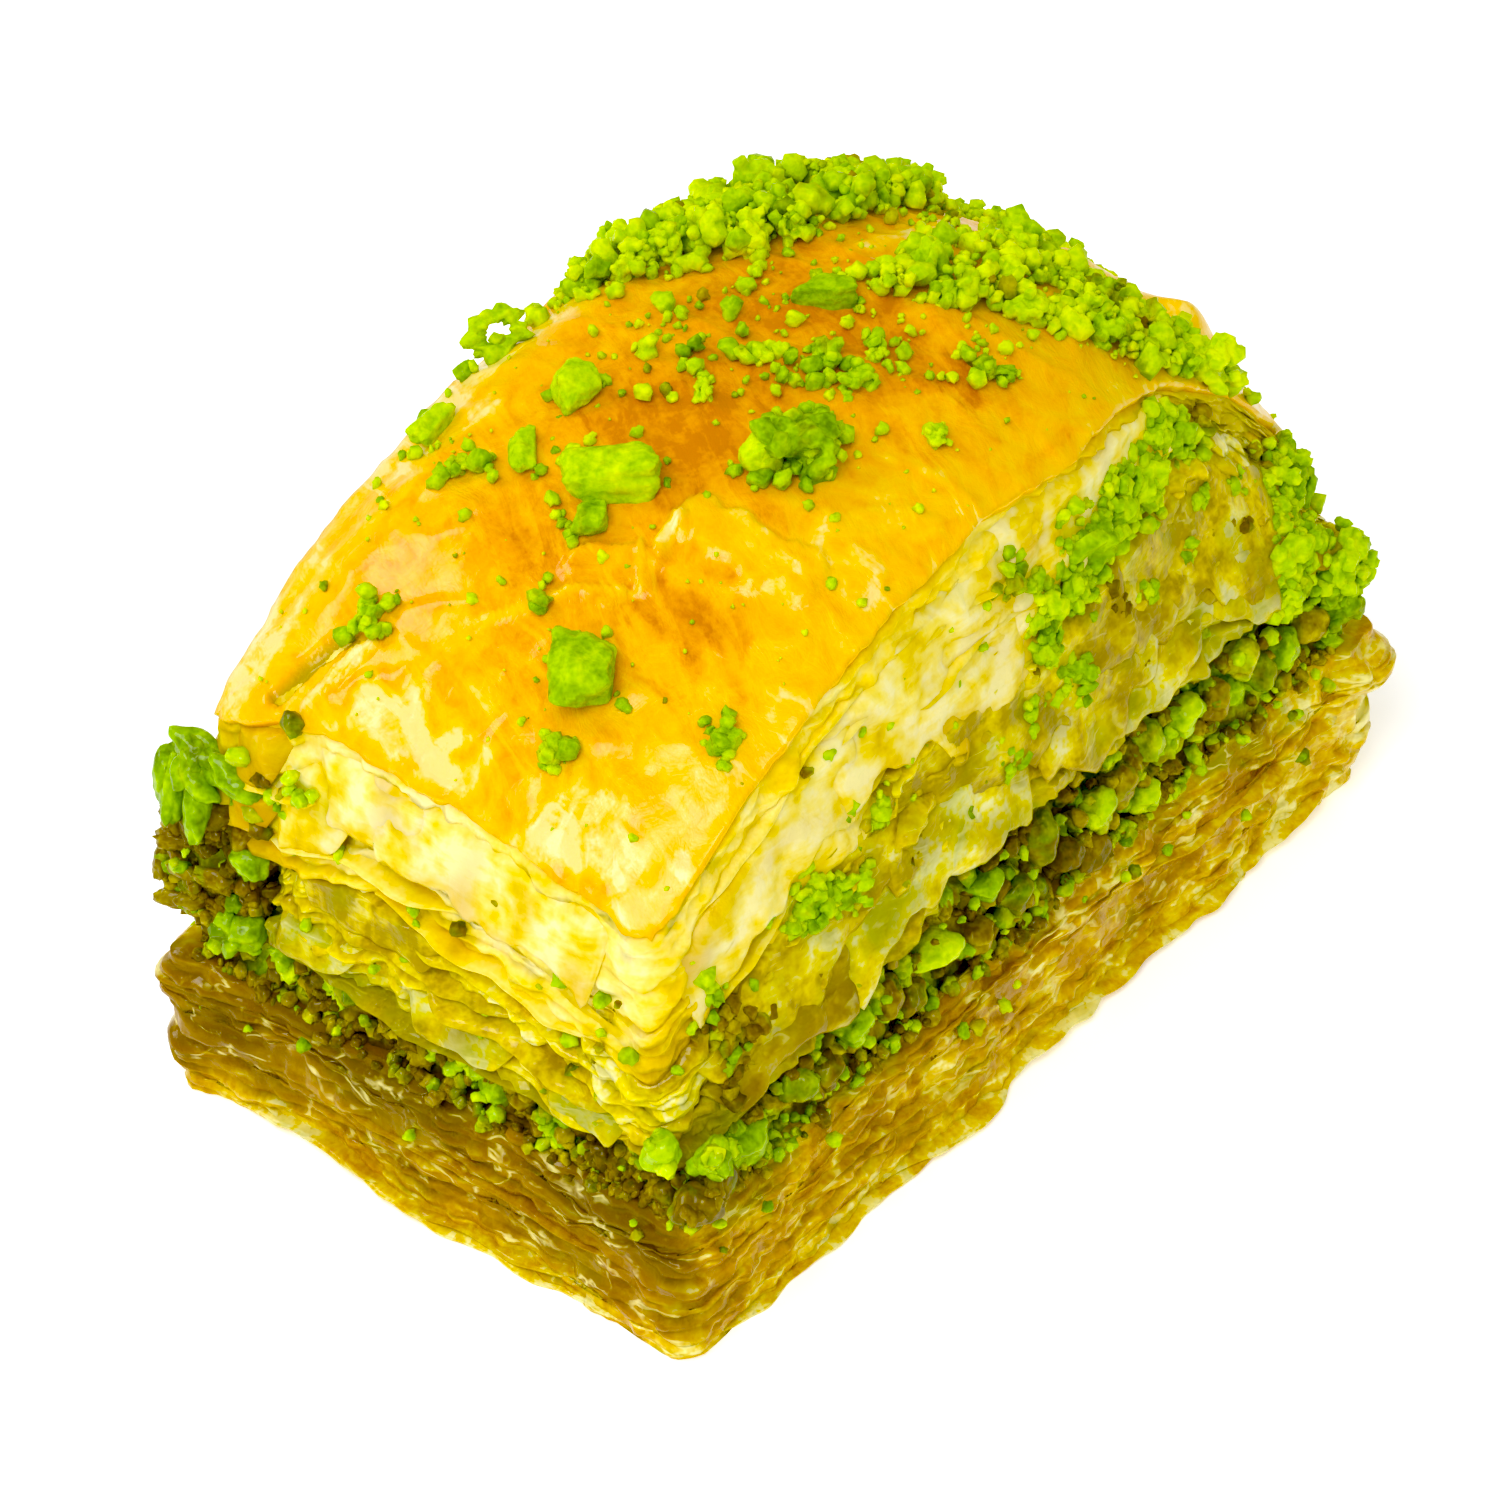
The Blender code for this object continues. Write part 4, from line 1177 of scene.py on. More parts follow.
# %% [markdown]
# The curl, the chunks and the knobs are laid first, then the heaps round them, and last the two drifts. A
# crumb of a drift is kept where the density says so, and it rests on what was laid before it.

# %% Lay the crumbs on the crust
draw = random.Random(12)
settled = Settled()
chunk_spots, bit_spots = [], []
facing_view = towards_eye.to_track_quat("Z", "Y").to_matrix().to_4x4()
for x, y, width, height, turn in CURLS:
    middle = Vector((x, y, blistered_crust(x, y) + CRUST_LEAF + 0.42 * height)) * MM
    shape = Matrix.Rotation(math.radians(turn), 4, "Z") @ Matrix.Diagonal((width * MM, height * MM, 1.0 * MM, 1.0))
    chunk_spots.append((curl_kinds[0], Matrix.Translation(middle) @ facing_view @ shape, GREEN_TONE))
for x, y, length, width, height, turn in CRUST_CHUNKS:
    x, y = nearer_view(x, y, 0.36 * height)
    z = blistered_crust(x, y) + CRUST_LEAF + 0.36 * height
    settled.add(x, y, z - 0.1 * height, 0.42 * height)
    chunk_spots.append(spot(fine_kinds, draw, (x, y, z), (length, width, height), GREEN_TONE, turn))
    for _ in range(round(2.2 * length)):
        angle = draw.uniform(0, math.tau)
        near_x, near_y = x + 0.6 * length * math.cos(angle), y + 0.55 * length * math.sin(angle)
        size = draw.uniform(0.35, 0.8)
        ground = blistered_crust(near_x, near_y) + CRUST_LEAF
        bit_spots.append(spot(bit_kinds, draw, (near_x, near_y, ground + 0.35 * size), size, GREEN_TONE))
for x, y, length, width, height, turn in CRUST_KNOBS:
    x, y = nearer_view(x, y, 0.3 * height)
    z = blistered_crust(x, y) + CRUST_LEAF + 0.3 * height
    settled.add(x, y, z - 0.1 * height, 0.4 * height)
    chunk_spots.append(spot(knob_kinds, draw, (x, y, z), (length, width, height), GREEN_TONE, turn))
for x, y, deep, wide, height, count in CRUMB_HEAPS:
    x, y = nearer_view(x, y, 0.4 * height)
    for _ in range(count):
        angle, out = draw.uniform(0, math.tau), math.sqrt(draw.random())
        along, across = out * deep * math.cos(angle), out * wide * math.sin(angle)
        near_x = x + along * TOWARDS_VIEW[0] - across * TOWARDS_VIEW[1]
        near_y = y + along * TOWARDS_VIEW[1] + across * TOWARDS_VIEW[0]
        size = draw.uniform(0.45, 1.15)
        ground = blistered_crust(near_x, near_y) + CRUST_LEAF
        level = ground + 0.35 * size + draw.random() * height * math.sqrt(1 - out * out) * 0.8
        bit_spots.append(spot(bit_kinds, draw, (near_x, near_y, level), size, GREEN_TONE))
crumb_spots, dust_spots = [], []
for kinds, tries, sizes, spots in ((knob_kinds, KNOB_TRIES, KNOB_SIZES, chunk_spots),
                                   (clump_kinds, CLUMP_TRIES, CLUMP_SIZES, crumb_spots),
                                   (crumb_kinds, CRUMB_TRIES, CRUMB_SIZES, crumb_spots),
                                   (dust_kinds, DUST_TRIES, DUST_SIZES, dust_spots)):
    for _ in range(tries):
        u, v = draw.uniform(-1, 1), draw.uniform(-1, 1)
        x, y = plan_point(PUFF_INSETS, PUFF_LEAN, u, v, 1.0)
        density = crumb_density(x, y) * (0.7 + 0.9 * wander(x, y, 0, 2.4, 91))
        if draw.random() > density + (0.06 if kinds is dust_kinds else 0.0):
            continue
        if kinds is knob_kinds and density < 0.55:
            continue
        size = mix(*sizes, draw.random() ** 1.6) * mix(0.7, 1.0, clamp(2 * density))
        ground = blistered_crust(x, y) + CRUST_LEAF + 0.05
        z = settled.rest_height(x, y, size / 2, ground)
        if z - ground > mix(RIGHT_PILE, LEFT_PILE, smooth((y - 2) / 4)) * clamp(density + 0.2):
            continue
        settled.add(x, y, z, size / 2)
        fresh = BRIGHT_TONE if y < 2 and kinds is not knob_kinds else DRIFT_TONE
        tone = fresh if draw.random() > BROWN_SHARE else OLIVE_TONE
        spots.append(spot(kinds, draw, (x, y, z), size, tone))
print("knobs:", len(chunk_spots), "crumbs:", len(crumb_spots), "bits:", len(bit_spots), "dust:", len(dust_spots))

# %% [markdown]
# ## The band of crushed nuts
# The body of the band is a recessed, lumpy mush of fine nut and syrup. Coarse pieces stand out of it all
# round, green where fresh flesh shows and brown where skin or cooked nut does. Between them the hollows
# stay dark, and the mush is darkened in patches as painted shade.

# %% Filling
class Mush(Stack):
    """A band with no leaves: even rings, dented by noise."""
    RINGS = 13
    SUNK_FOOT, SUNK_HEAD = 0.4, 1.1

    def rings(self):
        laid = [(0.0, "cap", 0, share) for share in CAP_SHARES]
        laid.extend((ring / (self.RINGS - 1), "wall", ring, 1.0) for ring in range(self.RINGS))
        laid.extend((1.0, "cap", self.RINGS, share) for share in reversed(CAP_SHARES))
        return laid

    def reach(self, x, y, leaf, kind, rises):
        level = 0.42 * leaf
        lumps = 0.75 * wander(x, y, level, 1.6, self.seed) + 0.4 * wander(x, y, level, 0.6, self.seed + 1)
        return lumps - mix(self.SUNK_FOOT, self.SUNK_HEAD, rises)


def filling_tone(ring, outline, x, y, z):
    # Red darkens the mush in patches: painted shade of the crevices between the pieces.
    return (clamp(0.35 + 0.6 * wander(x, y, z, 1.2, 55)), clamp(0.4 + 0.7 * wander(x, y, z, 2.0, 56)),
            clamp(0.72 + 0.6 * wander(x, y, z, 2.6, 57)))


mush = Mush(lambda x, y: base_top(x, y) - 0.3, lambda x, y: nut_top(x, y) + 0.6, NUT_INSETS, UPRIGHT, 1, 27,
            0, 0, 0, 0, 0)
nut_filling = lay_stack("nut_filling", mush, filling_tone)
print("filling vertices:", len(nut_filling.data.vertices))

# %% [markdown]
# The largest pieces are named one by one, so that they lie where the photograph shows them. Each is
# sunk halfway into the mush, and the ones that spilled at the corners carry a coat of crumbs.

# %% Pieces in the band
# Pieces that the photograph shows on the long side, as x, z, length, height in mm and a tone
BAND_NUTS = (
    (11.9, 12.4, 2.6, 2.2, GREEN_TONE), (0.5, 12.4, 2.4, 3.0, OLIVE_TONE), (4.4, 8.8, 2.8, 2.6, BROWN_TONE),
    (6.8, 11.4, 2.2, 2.4, BROWN_TONE), (5.2, 11.0, 2.0, 2.6, OLIVE_TONE), (-4.0, 12.4, 2.2, 1.7, GREEN_TONE),
    (-7.7, 10.9, 3.4, 1.7, GREEN_TONE), (-13.9, 10.6, 2.4, 2.0, GREEN_TONE), (-11.4, 10.6, 2.0, 2.0, BROWN_TONE),
    (-21.9, 9.0, 3.2, 2.2, GREEN_TONE), (-24.2, 8.3, 2.8, 2.6, BROWN_TONE), (-18.1, 10.0, 2.2, 2.0, OLIVE_TONE),
    (16.7, 12.8, 2.4, 2.2, OLIVE_TONE), (22.6, 11.4, 2.4, 2.4, BROWN_TONE), (20.6, 11.2, 2.0, 2.0, GREEN_TONE),
    (14.6, 11.6, 1.8, 2.2, BROWN_TONE), (-1.6, 10.2, 2.4, 2.0, OLIVE_TONE), (-4.6, 9.6, 2.2, 1.8, BROWN_TONE),
    (8.9, 9.4, 2.0, 1.7, GREEN_TONE), (-16.0, 9.3, 2.2, 1.8, BROWN_TONE), (2.4, 10.0, 2.0, 2.0, BROWN_TONE),
    (9.2, 12.6, 1.8, 2.0, OLIVE_TONE), (-9.6, 9.4, 2.0, 1.6, OLIVE_TONE), (18.7, 11.0, 1.9, 2.0, OLIVE_TONE),
)
# Spilled pieces at the two near corners, as x, y, z, length, width, height in mm and a tone
CORNER_NUTS = (
    (-24.0, 12.6, 13.0, 3.6, 4.0, 5.2, HOLLOW_SHADE_TONE),
    (-25.4, 10.9, 10.5, 2.2, 2.2, 2.0, SHADED_TONE), (-24.3, 15.9, 9.9, 2.4, 1.8, 2.6, BROWN_TONE),
    (-24.9, 8.6, 11.6, 2.2, 1.8, 1.7, OLIVE_TONE), (-24.2, -15.2, 11.0, 2.2, 1.6, 2.2, GREEN_TONE),
    (-25.8, -13.6, 11.6, 1.9, 1.8, 2.0, GREEN_TONE), (-25.2, -15.0, 8.9, 2.6, 2.0, 2.2, BROWN_TONE),
)
band_spots, band_crumb_spots = [], []
for x, z, length, height, tone in BAND_NUTS:
    place_x, place_y, _, _ = side_place("right", x, NUT_INSETS, UPRIGHT, 0.5)
    band_spots.append(spot(sliver_kinds, draw, (place_x, place_y + 0.1, z), (length, 2.0, height), tone,
                           draw.uniform(-25, 25)))
for x, y, z, length, width, height, tone in CORNER_NUTS:
    band_spots.append(spot(sliver_kinds, draw, (x, y, z), (length, width, height), tone, draw.uniform(-40, 40)))
    for _ in range(round(1.6 * length * height)):
        facing = Vector([draw.uniform(-1, 1) for _ in range(3)]).normalized()
        bit = Vector((x, y, z)) + Vector(0.46 * a * b for a, b in zip(facing, (length, width, height)))
        band_crumb_spots.append(spot(bit_kinds, draw, bit, draw.uniform(0.5, 1.3), tone))
print("pieces named so far:", len(band_spots))

# %% [markdown]
# ## The spill at the near left corner
# At this corner the cut pulled a heap of nut out of the band: long slivers of fresh nut that droop over
# brown, sticky lumps, with a gap between them whose pieces are painted near black as shade. The slivers
# are laid as flat to the camera as the photograph shows them. Above them a few crumbs hang in the torn
# corner of the crust.

# %% The spill
# Long smooth slivers on top of the spill, as x, y, z, length, thickness and their slope in the picture
SLIVERS = (
    (-24.6, 13.4, 19.1, 3.9, 1.8, -28), (-25.2, 10.9, 19.2, 3.4, 1.6, -37), (-25.8, 12.9, 17.2, 3.8, 1.4, 80),
    (-25.6, 14.6, 17.0, 3.4, 1.2, 82), (-25.0, 15.3, 17.2, 3.2, 1.7, 77), (-25.5, 13.1, 18.4, 3.0, 1.4, -58),
    (-25.3, 13.7, 18.8, 2.8, 1.6, 72), (-25.5, 10.2, 15.0, 2.0, 1.4, -34), (-24.6, 12.2, 18.6, 3.0, 1.8, -35),
)
# The heap that spilled out at the near left corner: its middle and its half sizes in mm, and its crumbs
SPILL_MIDDLE, SPILL_HALF, SPILL_CRUMBS = Vector((-24.2, 13.2, 13.2)), Vector((1.9, 2.9, 4.3)), 210
SPILL_HOLLOW, HOLLOW_RADIUS = Vector((-25.3, 12.3, 15.4)), 1.9
# Crumbs caught in the torn corner of the crust above the spill, as x, y, z, size in mm and a tone
CORNER_BITS = (
    (-24.7, 7.9, 23.6, 1.4, OLIVE_TONE), (-25.4, 7.5, 21.3, 0.9, BRIGHT_TONE), (-25.4, 6.9, 20.4, 1.0, BRIGHT_TONE),
    (-25.4, 7.6, 20.5, 0.8, BRIGHT_TONE), (-25.3, 10.6, 20.9, 1.2, OLIVE_TONE), (-25.3, 9.4, 20.2, 1.1, BROWN_TONE),
    (-25.2, 8.8, 19.4, 0.9, BRIGHT_TONE), (-25.4, 6.2, 20.9, 0.7, BRIGHT_TONE), (-25.3, 9.6, 17.2, 1.3, BROWN_TONE),
    (-25.2, 10.0, 18.0, 1.3, OLIVE_TONE),
)
# Syrupy brown lumps below the slivers, as x, y, z, length, thickness, their slope in the picture and a tone
STICKY_LUMPS = (
    (-25.2, 15.8, 12.2, 2.4, 1.1, 63, RED_BROWN_TONE), (-25.1, 15.3, 9.9, 2.4, 1.1, -7, STICKY_TONE),
    (-25.6, 13.6, 11.2, 2.2, 1.2, 20, RED_BROWN_TONE), (-25.0, 10.9, 15.6, 2.0, 1.5, 70, STICKY_TONE),
    (-24.9, 12.2, 16.4, 2.8, 2.0, -20, HOLLOW_SHADE_TONE), (-24.2, 14.8, 12.2, 3.4, 2.6, -20, HOLLOW_SHADE_TONE),
)
SPILL_LUMPS = 44


def picture_spot(kind, place, length, thickness, slope, tone):
    """A long piece that lies as flat to the camera as the photograph shows it."""
    lengths = Matrix.Diagonal((length * MM, thickness * MM, thickness * MM, 1.0))
    turned = facing_view @ Matrix.Rotation(math.radians(slope), 4, "Z")
    return kind, Matrix.Translation(Vector(place) * MM) @ turned @ lengths, tone


for x, y, z, size, tone in CORNER_BITS:
    band_crumb_spots.append(spot(bit_kinds, draw, (x, y, z), size, tone))
for x, y, z, length, thickness, slope in SLIVERS:
    band_spots.append(picture_spot(draw.choice(sliver_kinds), (x, y, z), length, thickness, slope, SHADED_TONE))
for x, y, z, length, thickness, slope, tone in STICKY_LUMPS:
    band_spots.append(picture_spot(draw.choice(sliver_kinds), (x, y, z), length, thickness, slope, tone))
for _ in range(SPILL_LUMPS):
    facing = Vector([draw.uniform(-1, 0.4), draw.uniform(-1, 1), draw.uniform(-1, 1)]).normalized()
    place = SPILL_MIDDLE + Vector(0.92 * a * b for a, b in zip(facing, SPILL_HALF))
    tone = draw.choice((STICKY_TONE, STICKY_TONE, BROWN_TONE, RED_BROWN_TONE))
    # Painted shade for the lumps in the dark gap.
    if (place - SPILL_HOLLOW).length < HOLLOW_RADIUS:
        tone = HOLLOW_SHADE_TONE
    band_spots.append(picture_spot(draw.choice(lump_kinds), place, draw.uniform(1.3, 2.4), draw.uniform(0.8, 1.3),
                                   draw.uniform(-90, 90), tone))
for _ in range(SPILL_CRUMBS):
    facing = Vector([draw.uniform(-1, 1) for _ in range(3)]).normalized()
    size = draw.uniform(0.4, 1.1)
    bit = SPILL_MIDDLE + Vector(a * b for a, b in zip(facing, SPILL_HALF)) * draw.uniform(0.9, 1.08)
    green = draw.random() < 0.1 + 0.3 * smooth((bit.z - 14.5) / 2.5)
    tone = SHADED_TONE if green else draw.choice((BROWN_TONE, BROWN_TONE, OLIVE_TONE))
    # Painted shade for the crumbs in the dark gap.
    if (bit - SPILL_HOLLOW).length < HOLLOW_RADIUS:
        tone = HOLLOW_SHADE_TONE
    band_crumb_spots.append(spot(bit_kinds, draw, bit, size, tone))
print("pieces in the spill too:", len(band_spots))

# %% [markdown]
# The rest of the band is crushed nut, rolled on at random: larger lumps sit a little sunk in the mush,
# crumbs fill the gaps, and some have dropped on the ledge that the slab makes. The short side soaked up
# more syrup, so more of its nuts are brown.

# %% Crumbs of the band
BAND_LUMPS, BAND_CRUMBS, LEDGE_CRUMBS = 230, 1050, 700
SHORT_SIDE_TONES = (GREEN_TONE, OLIVE_TONE, BROWN_TONE, BROWN_TONE, BROWN_TONE, STICKY_TONE, STICKY_TONE,
                    RED_BROWN_TONE)
LONG_SIDE_TONES = (GREEN_TONE, GREEN_TONE, OLIVE_TONE, OLIVE_TONE, BROWN_TONE, BROWN_TONE, BROWN_TONE,
                   STICKY_TONE)

for kinds, count, sizes, spots in ((lump_kinds, BAND_LUMPS, (1.0, 2.1), band_spots),
                                   (bit_kinds, BAND_CRUMBS, (0.5, 1.3), band_crumb_spots)):
    for _ in range(count):
        u, v, out_x, out_y = outline_point(draw.random())
        rises = draw.uniform(0.06, 0.94)
        x, y = plan_point(NUT_INSETS, UPRIGHT, u, v, rises)
        size = mix(*sizes, draw.random() ** 1.5)
        sunk = draw.uniform(0.2, 0.9) if kinds is lump_kinds else draw.uniform(-0.2, 0.8)
        x, y = x - out_x * sunk, y - out_y * sunk
        z = mix(base_top(x, y) + 0.3 * size, nut_top(x, y) - 0.1 * size, rises)
        tone = draw.choice(SHORT_SIDE_TONES if out_x < -0.7 else LONG_SIDE_TONES)
        spots.append(spot(kinds, draw, (x, y, z), size, tone))
for _ in range(LEDGE_CRUMBS):
    u, v, out_x, out_y = outline_point(draw.random())
    x, y = plan_point(NUT_INSETS, UPRIGHT, u, v, 0.0)
    out = draw.uniform(-0.4, 0.8) * draw.random()
    x, y = x + out_x * out, y + out_y * out
    size = draw.uniform(0.4, 1.0)
    z = base_top(x, y) - 0.5 * max(0.0, out) + 0.25 * size
    tone = draw.choice(SHORT_SIDE_TONES if out_x < -0.7 else LONG_SIDE_TONES)
    band_crumb_spots.append(spot(bit_kinds, draw, (x, y, z), size, tone))
print("band pieces:", len(band_spots), "and", len(band_crumb_spots), "crumbs")

# %% [markdown]
# ## Crumbs stuck to the side
# When the piece was cut, crumbs fell down the long side and stuck to the syrup in little clusters. Each
# cluster is one larger piece with smaller ones pressed round it.

# %% Wall clusters
# x, z and size in mm, and a tone
WALL_NUTS = (
    (5.1, 25.3, 3.2, GREEN_TONE), (7.9, 25.6, 2.8, GREEN_TONE), (3.6, 24.2, 2.4, GREEN_TONE),
    (1.3, 24.6, 2.5, GREEN_TONE), (1.2, 22.8, 1.8, GREEN_TONE), (2.8, 20.1, 2.2, GREEN_TONE),
    (-2.4, 18.9, 1.8, GREEN_TONE), (-0.6, 19.4, 1.4, GREEN_TONE), (-11.9, 21.3, 1.6, GREEN_TONE),
    (-13.0, 22.0, 1.0, GREEN_TONE), (-16.0, 18.9, 2.4, GREEN_TONE), (-13.9, 18.4, 2.0, GREEN_TONE),
    (-17.2, 17.8, 1.5, GREEN_TONE), (-22.3, 18.3, 1.3, GREEN_TONE), (-22.6, 17.0, 1.0, GREEN_TONE),
    (-10.0, 17.0, 1.3, BROWN_TONE), (6.0, 20.0, 1.1, BROWN_TONE), (-21.6, 15.8, 1.4, BROWN_TONE),
    (-20.6, 15.2, 1.4, BROWN_TONE), (-21.9, 14.7, 1.3, OLIVE_TONE),
    (-1.0, 27.4, 1.7, OLIVE_TONE), (9.2, 21.0, 1.1, GREEN_TONE), (11.1, 25.0, 3.0, GREEN_TONE),
    (12.6, 26.4, 2.1, GREEN_TONE), (14.6, 25.4, 2.2, GREEN_TONE), (16.6, 24.3, 1.6, OLIVE_TONE),
    (22.3, 18.8, 2.4, GREEN_TONE), (23.6, 17.6, 2.8, GREEN_TONE), (24.8, 18.0, 1.9, GREEN_TONE),
    (20.3, 16.5, 3.0, GREEN_TONE), (22.2, 16.2, 2.2, GREEN_TONE), (24.4, 14.2, 3.2, GREEN_TONE),
    (25.6, 13.2, 2.6, GREEN_TONE), (19.6, 14.8, 2.0, GREEN_TONE), (24.6, 11.6, 2.6, SHADED_TONE),
    (18.4, 21.2, 1.3, OLIVE_TONE), (18.0, 19.4, 1.2, BROWN_TONE), (21.4, 20.4, 1.2, OLIVE_TONE),
    (15.2, 22.4, 1.2, GREEN_TONE), (8.6, 26.4, 2.4, GREEN_TONE), (13.4, 20.6, 1.1, GREEN_TONE),
    (3.8, 27.2, 1.6, GREEN_TONE), (-19.0, 19.8, 0.8, GREEN_TONE), (4.8, 22.8, 1.2, GREEN_TONE),
    (-23.0, 15.6, 1.4, BROWN_TONE), (-22.4, 13.0, 1.5, RED_BROWN_TONE),
    (-16.8, 15.4, 1.0, RED_BROWN_TONE), (6.8, 21.6, 1.3, RED_BROWN_TONE), (16.2, 20.6, 1.2, BROWN_TONE),
    (7.9, 17.2, 0.9, BROWN_TONE), (-9.2, 18.2, 1.1, RED_BROWN_TONE),
)
CLUSTER_CRUMBS, CLUSTER_REACH = 3.2, 0.72
STACKS_UP = (base_stack, mush, middle_stack, puffed_stack)


def wall_place(side, along, z):
    """Where a side stands at a place along it and a height above the floor."""
    for stack in STACKS_UP:
        x, y, out_x, out_y = side_place(side, along, stack.insets, stack.lean, 0.5)
        low, high = stack.low(x, y), stack.high(x, y)
        if z <= high or stack is STACKS_UP[-1]:
            rises = clamp((z - low) / (high - low))
            return side_place(side, along, stack.insets, stack.lean, rises)


wall_spots, wall_crumb_spots = [], []
for along, z, size, tone in WALL_NUTS:
    x, y, out_x, out_y = wall_place("right", along, z)
    if size > 1.7:
        lengths = (1.15 * size, 0.8 * size, 0.95 * size)
        wall_spots.append(spot(knob_kinds, draw, (x, y + 0.4 * out_y, z), lengths, tone, draw.uniform(-30, 30)))
    for _ in range(round(CLUSTER_CRUMBS * size * size)):
        angle, share = draw.uniform(0, math.tau), math.sqrt(draw.random())
        out = CLUSTER_REACH * size * share
        near_along, near_z = along + out * math.cos(angle), z + out * math.sin(angle)
        x, y, _, _ = wall_place("right", near_along, near_z)
        small = draw.uniform(0.45, 1.25)
        stands_out = 0.4 + 0.3 * size * (1 - share) * draw.random()
        wall_crumb_spots.append(spot(bit_kinds, draw, (x, y - stands_out, near_z), small, tone))
for side, reach, count in (("right", 25.0, 170), ("near", 14.0, 60), ("left", 25.0, 170), ("far", 14.0, 90)):
    for _ in range(count):
        along, z = draw.uniform(-reach, reach), mix(4.0, 27.0, draw.random() ** 0.7)
        x, y, out_x, out_y = wall_place(side, along, z)
        if z < crust_height(x, y) - 2:
            small = draw.uniform(0.35, 0.9)
            wall_crumb_spots.append(spot(crumb_kinds, draw, (x + 0.35 * out_x, y + 0.35 * out_y, z), small,
                                         draw.choice((GREEN_TONE, GREEN_TONE, OLIVE_TONE))))
print("wall pieces:", len(wall_spots), "and", len(wall_crumb_spots), "crumbs")

# %% [markdown]
# Now all spots are sown, and the kinds that they were copied from are removed.

# %% Sow the nuts
pistachio_chunks = sow("pistachio_chunks", chunk_spots)
pistachio_crumbs = sow("pistachio_crumbs", crumb_spots + bit_spots)
pistachio_dust = sow("pistachio_dust", dust_spots)
band_nuts = sow("band_nuts", band_spots)
band_crumbs = sow("band_crumbs", band_crumb_spots)
wall_nuts = sow("wall_nuts", wall_spots)
wall_crumbs = sow("wall_crumbs", wall_crumb_spots)
for kind in (chunk_kinds + fine_kinds + clump_kinds + knob_kinds + lump_kinds + crumb_kinds + dust_kinds
             + sliver_kinds + curl_kinds):
    bpy.data.objects.remove(kind)
print("sown pieces:", len(chunk_spots) + len(crumb_spots) + len(dust_spots))

# %% [markdown]
# ## Pastry materials
# Filo is flour and water, baked and soaked with butter and syrup. Dry leaves scatter light like paper and
# look cream. Wet ones let light through and look yellow to amber, with a glassy coat of syrup over them.
# One recipe serves all the leaves: a ramp from wet to dry, a colour for painted shade in the grooves and
# for browning, a colour for the pistachio stain, thin bands for leaves finer than the mesh, thin pale lines
# of painted highlight where syrup glints, and a coat.

# %% Leaf material
SYRUP_IOR = 1.47


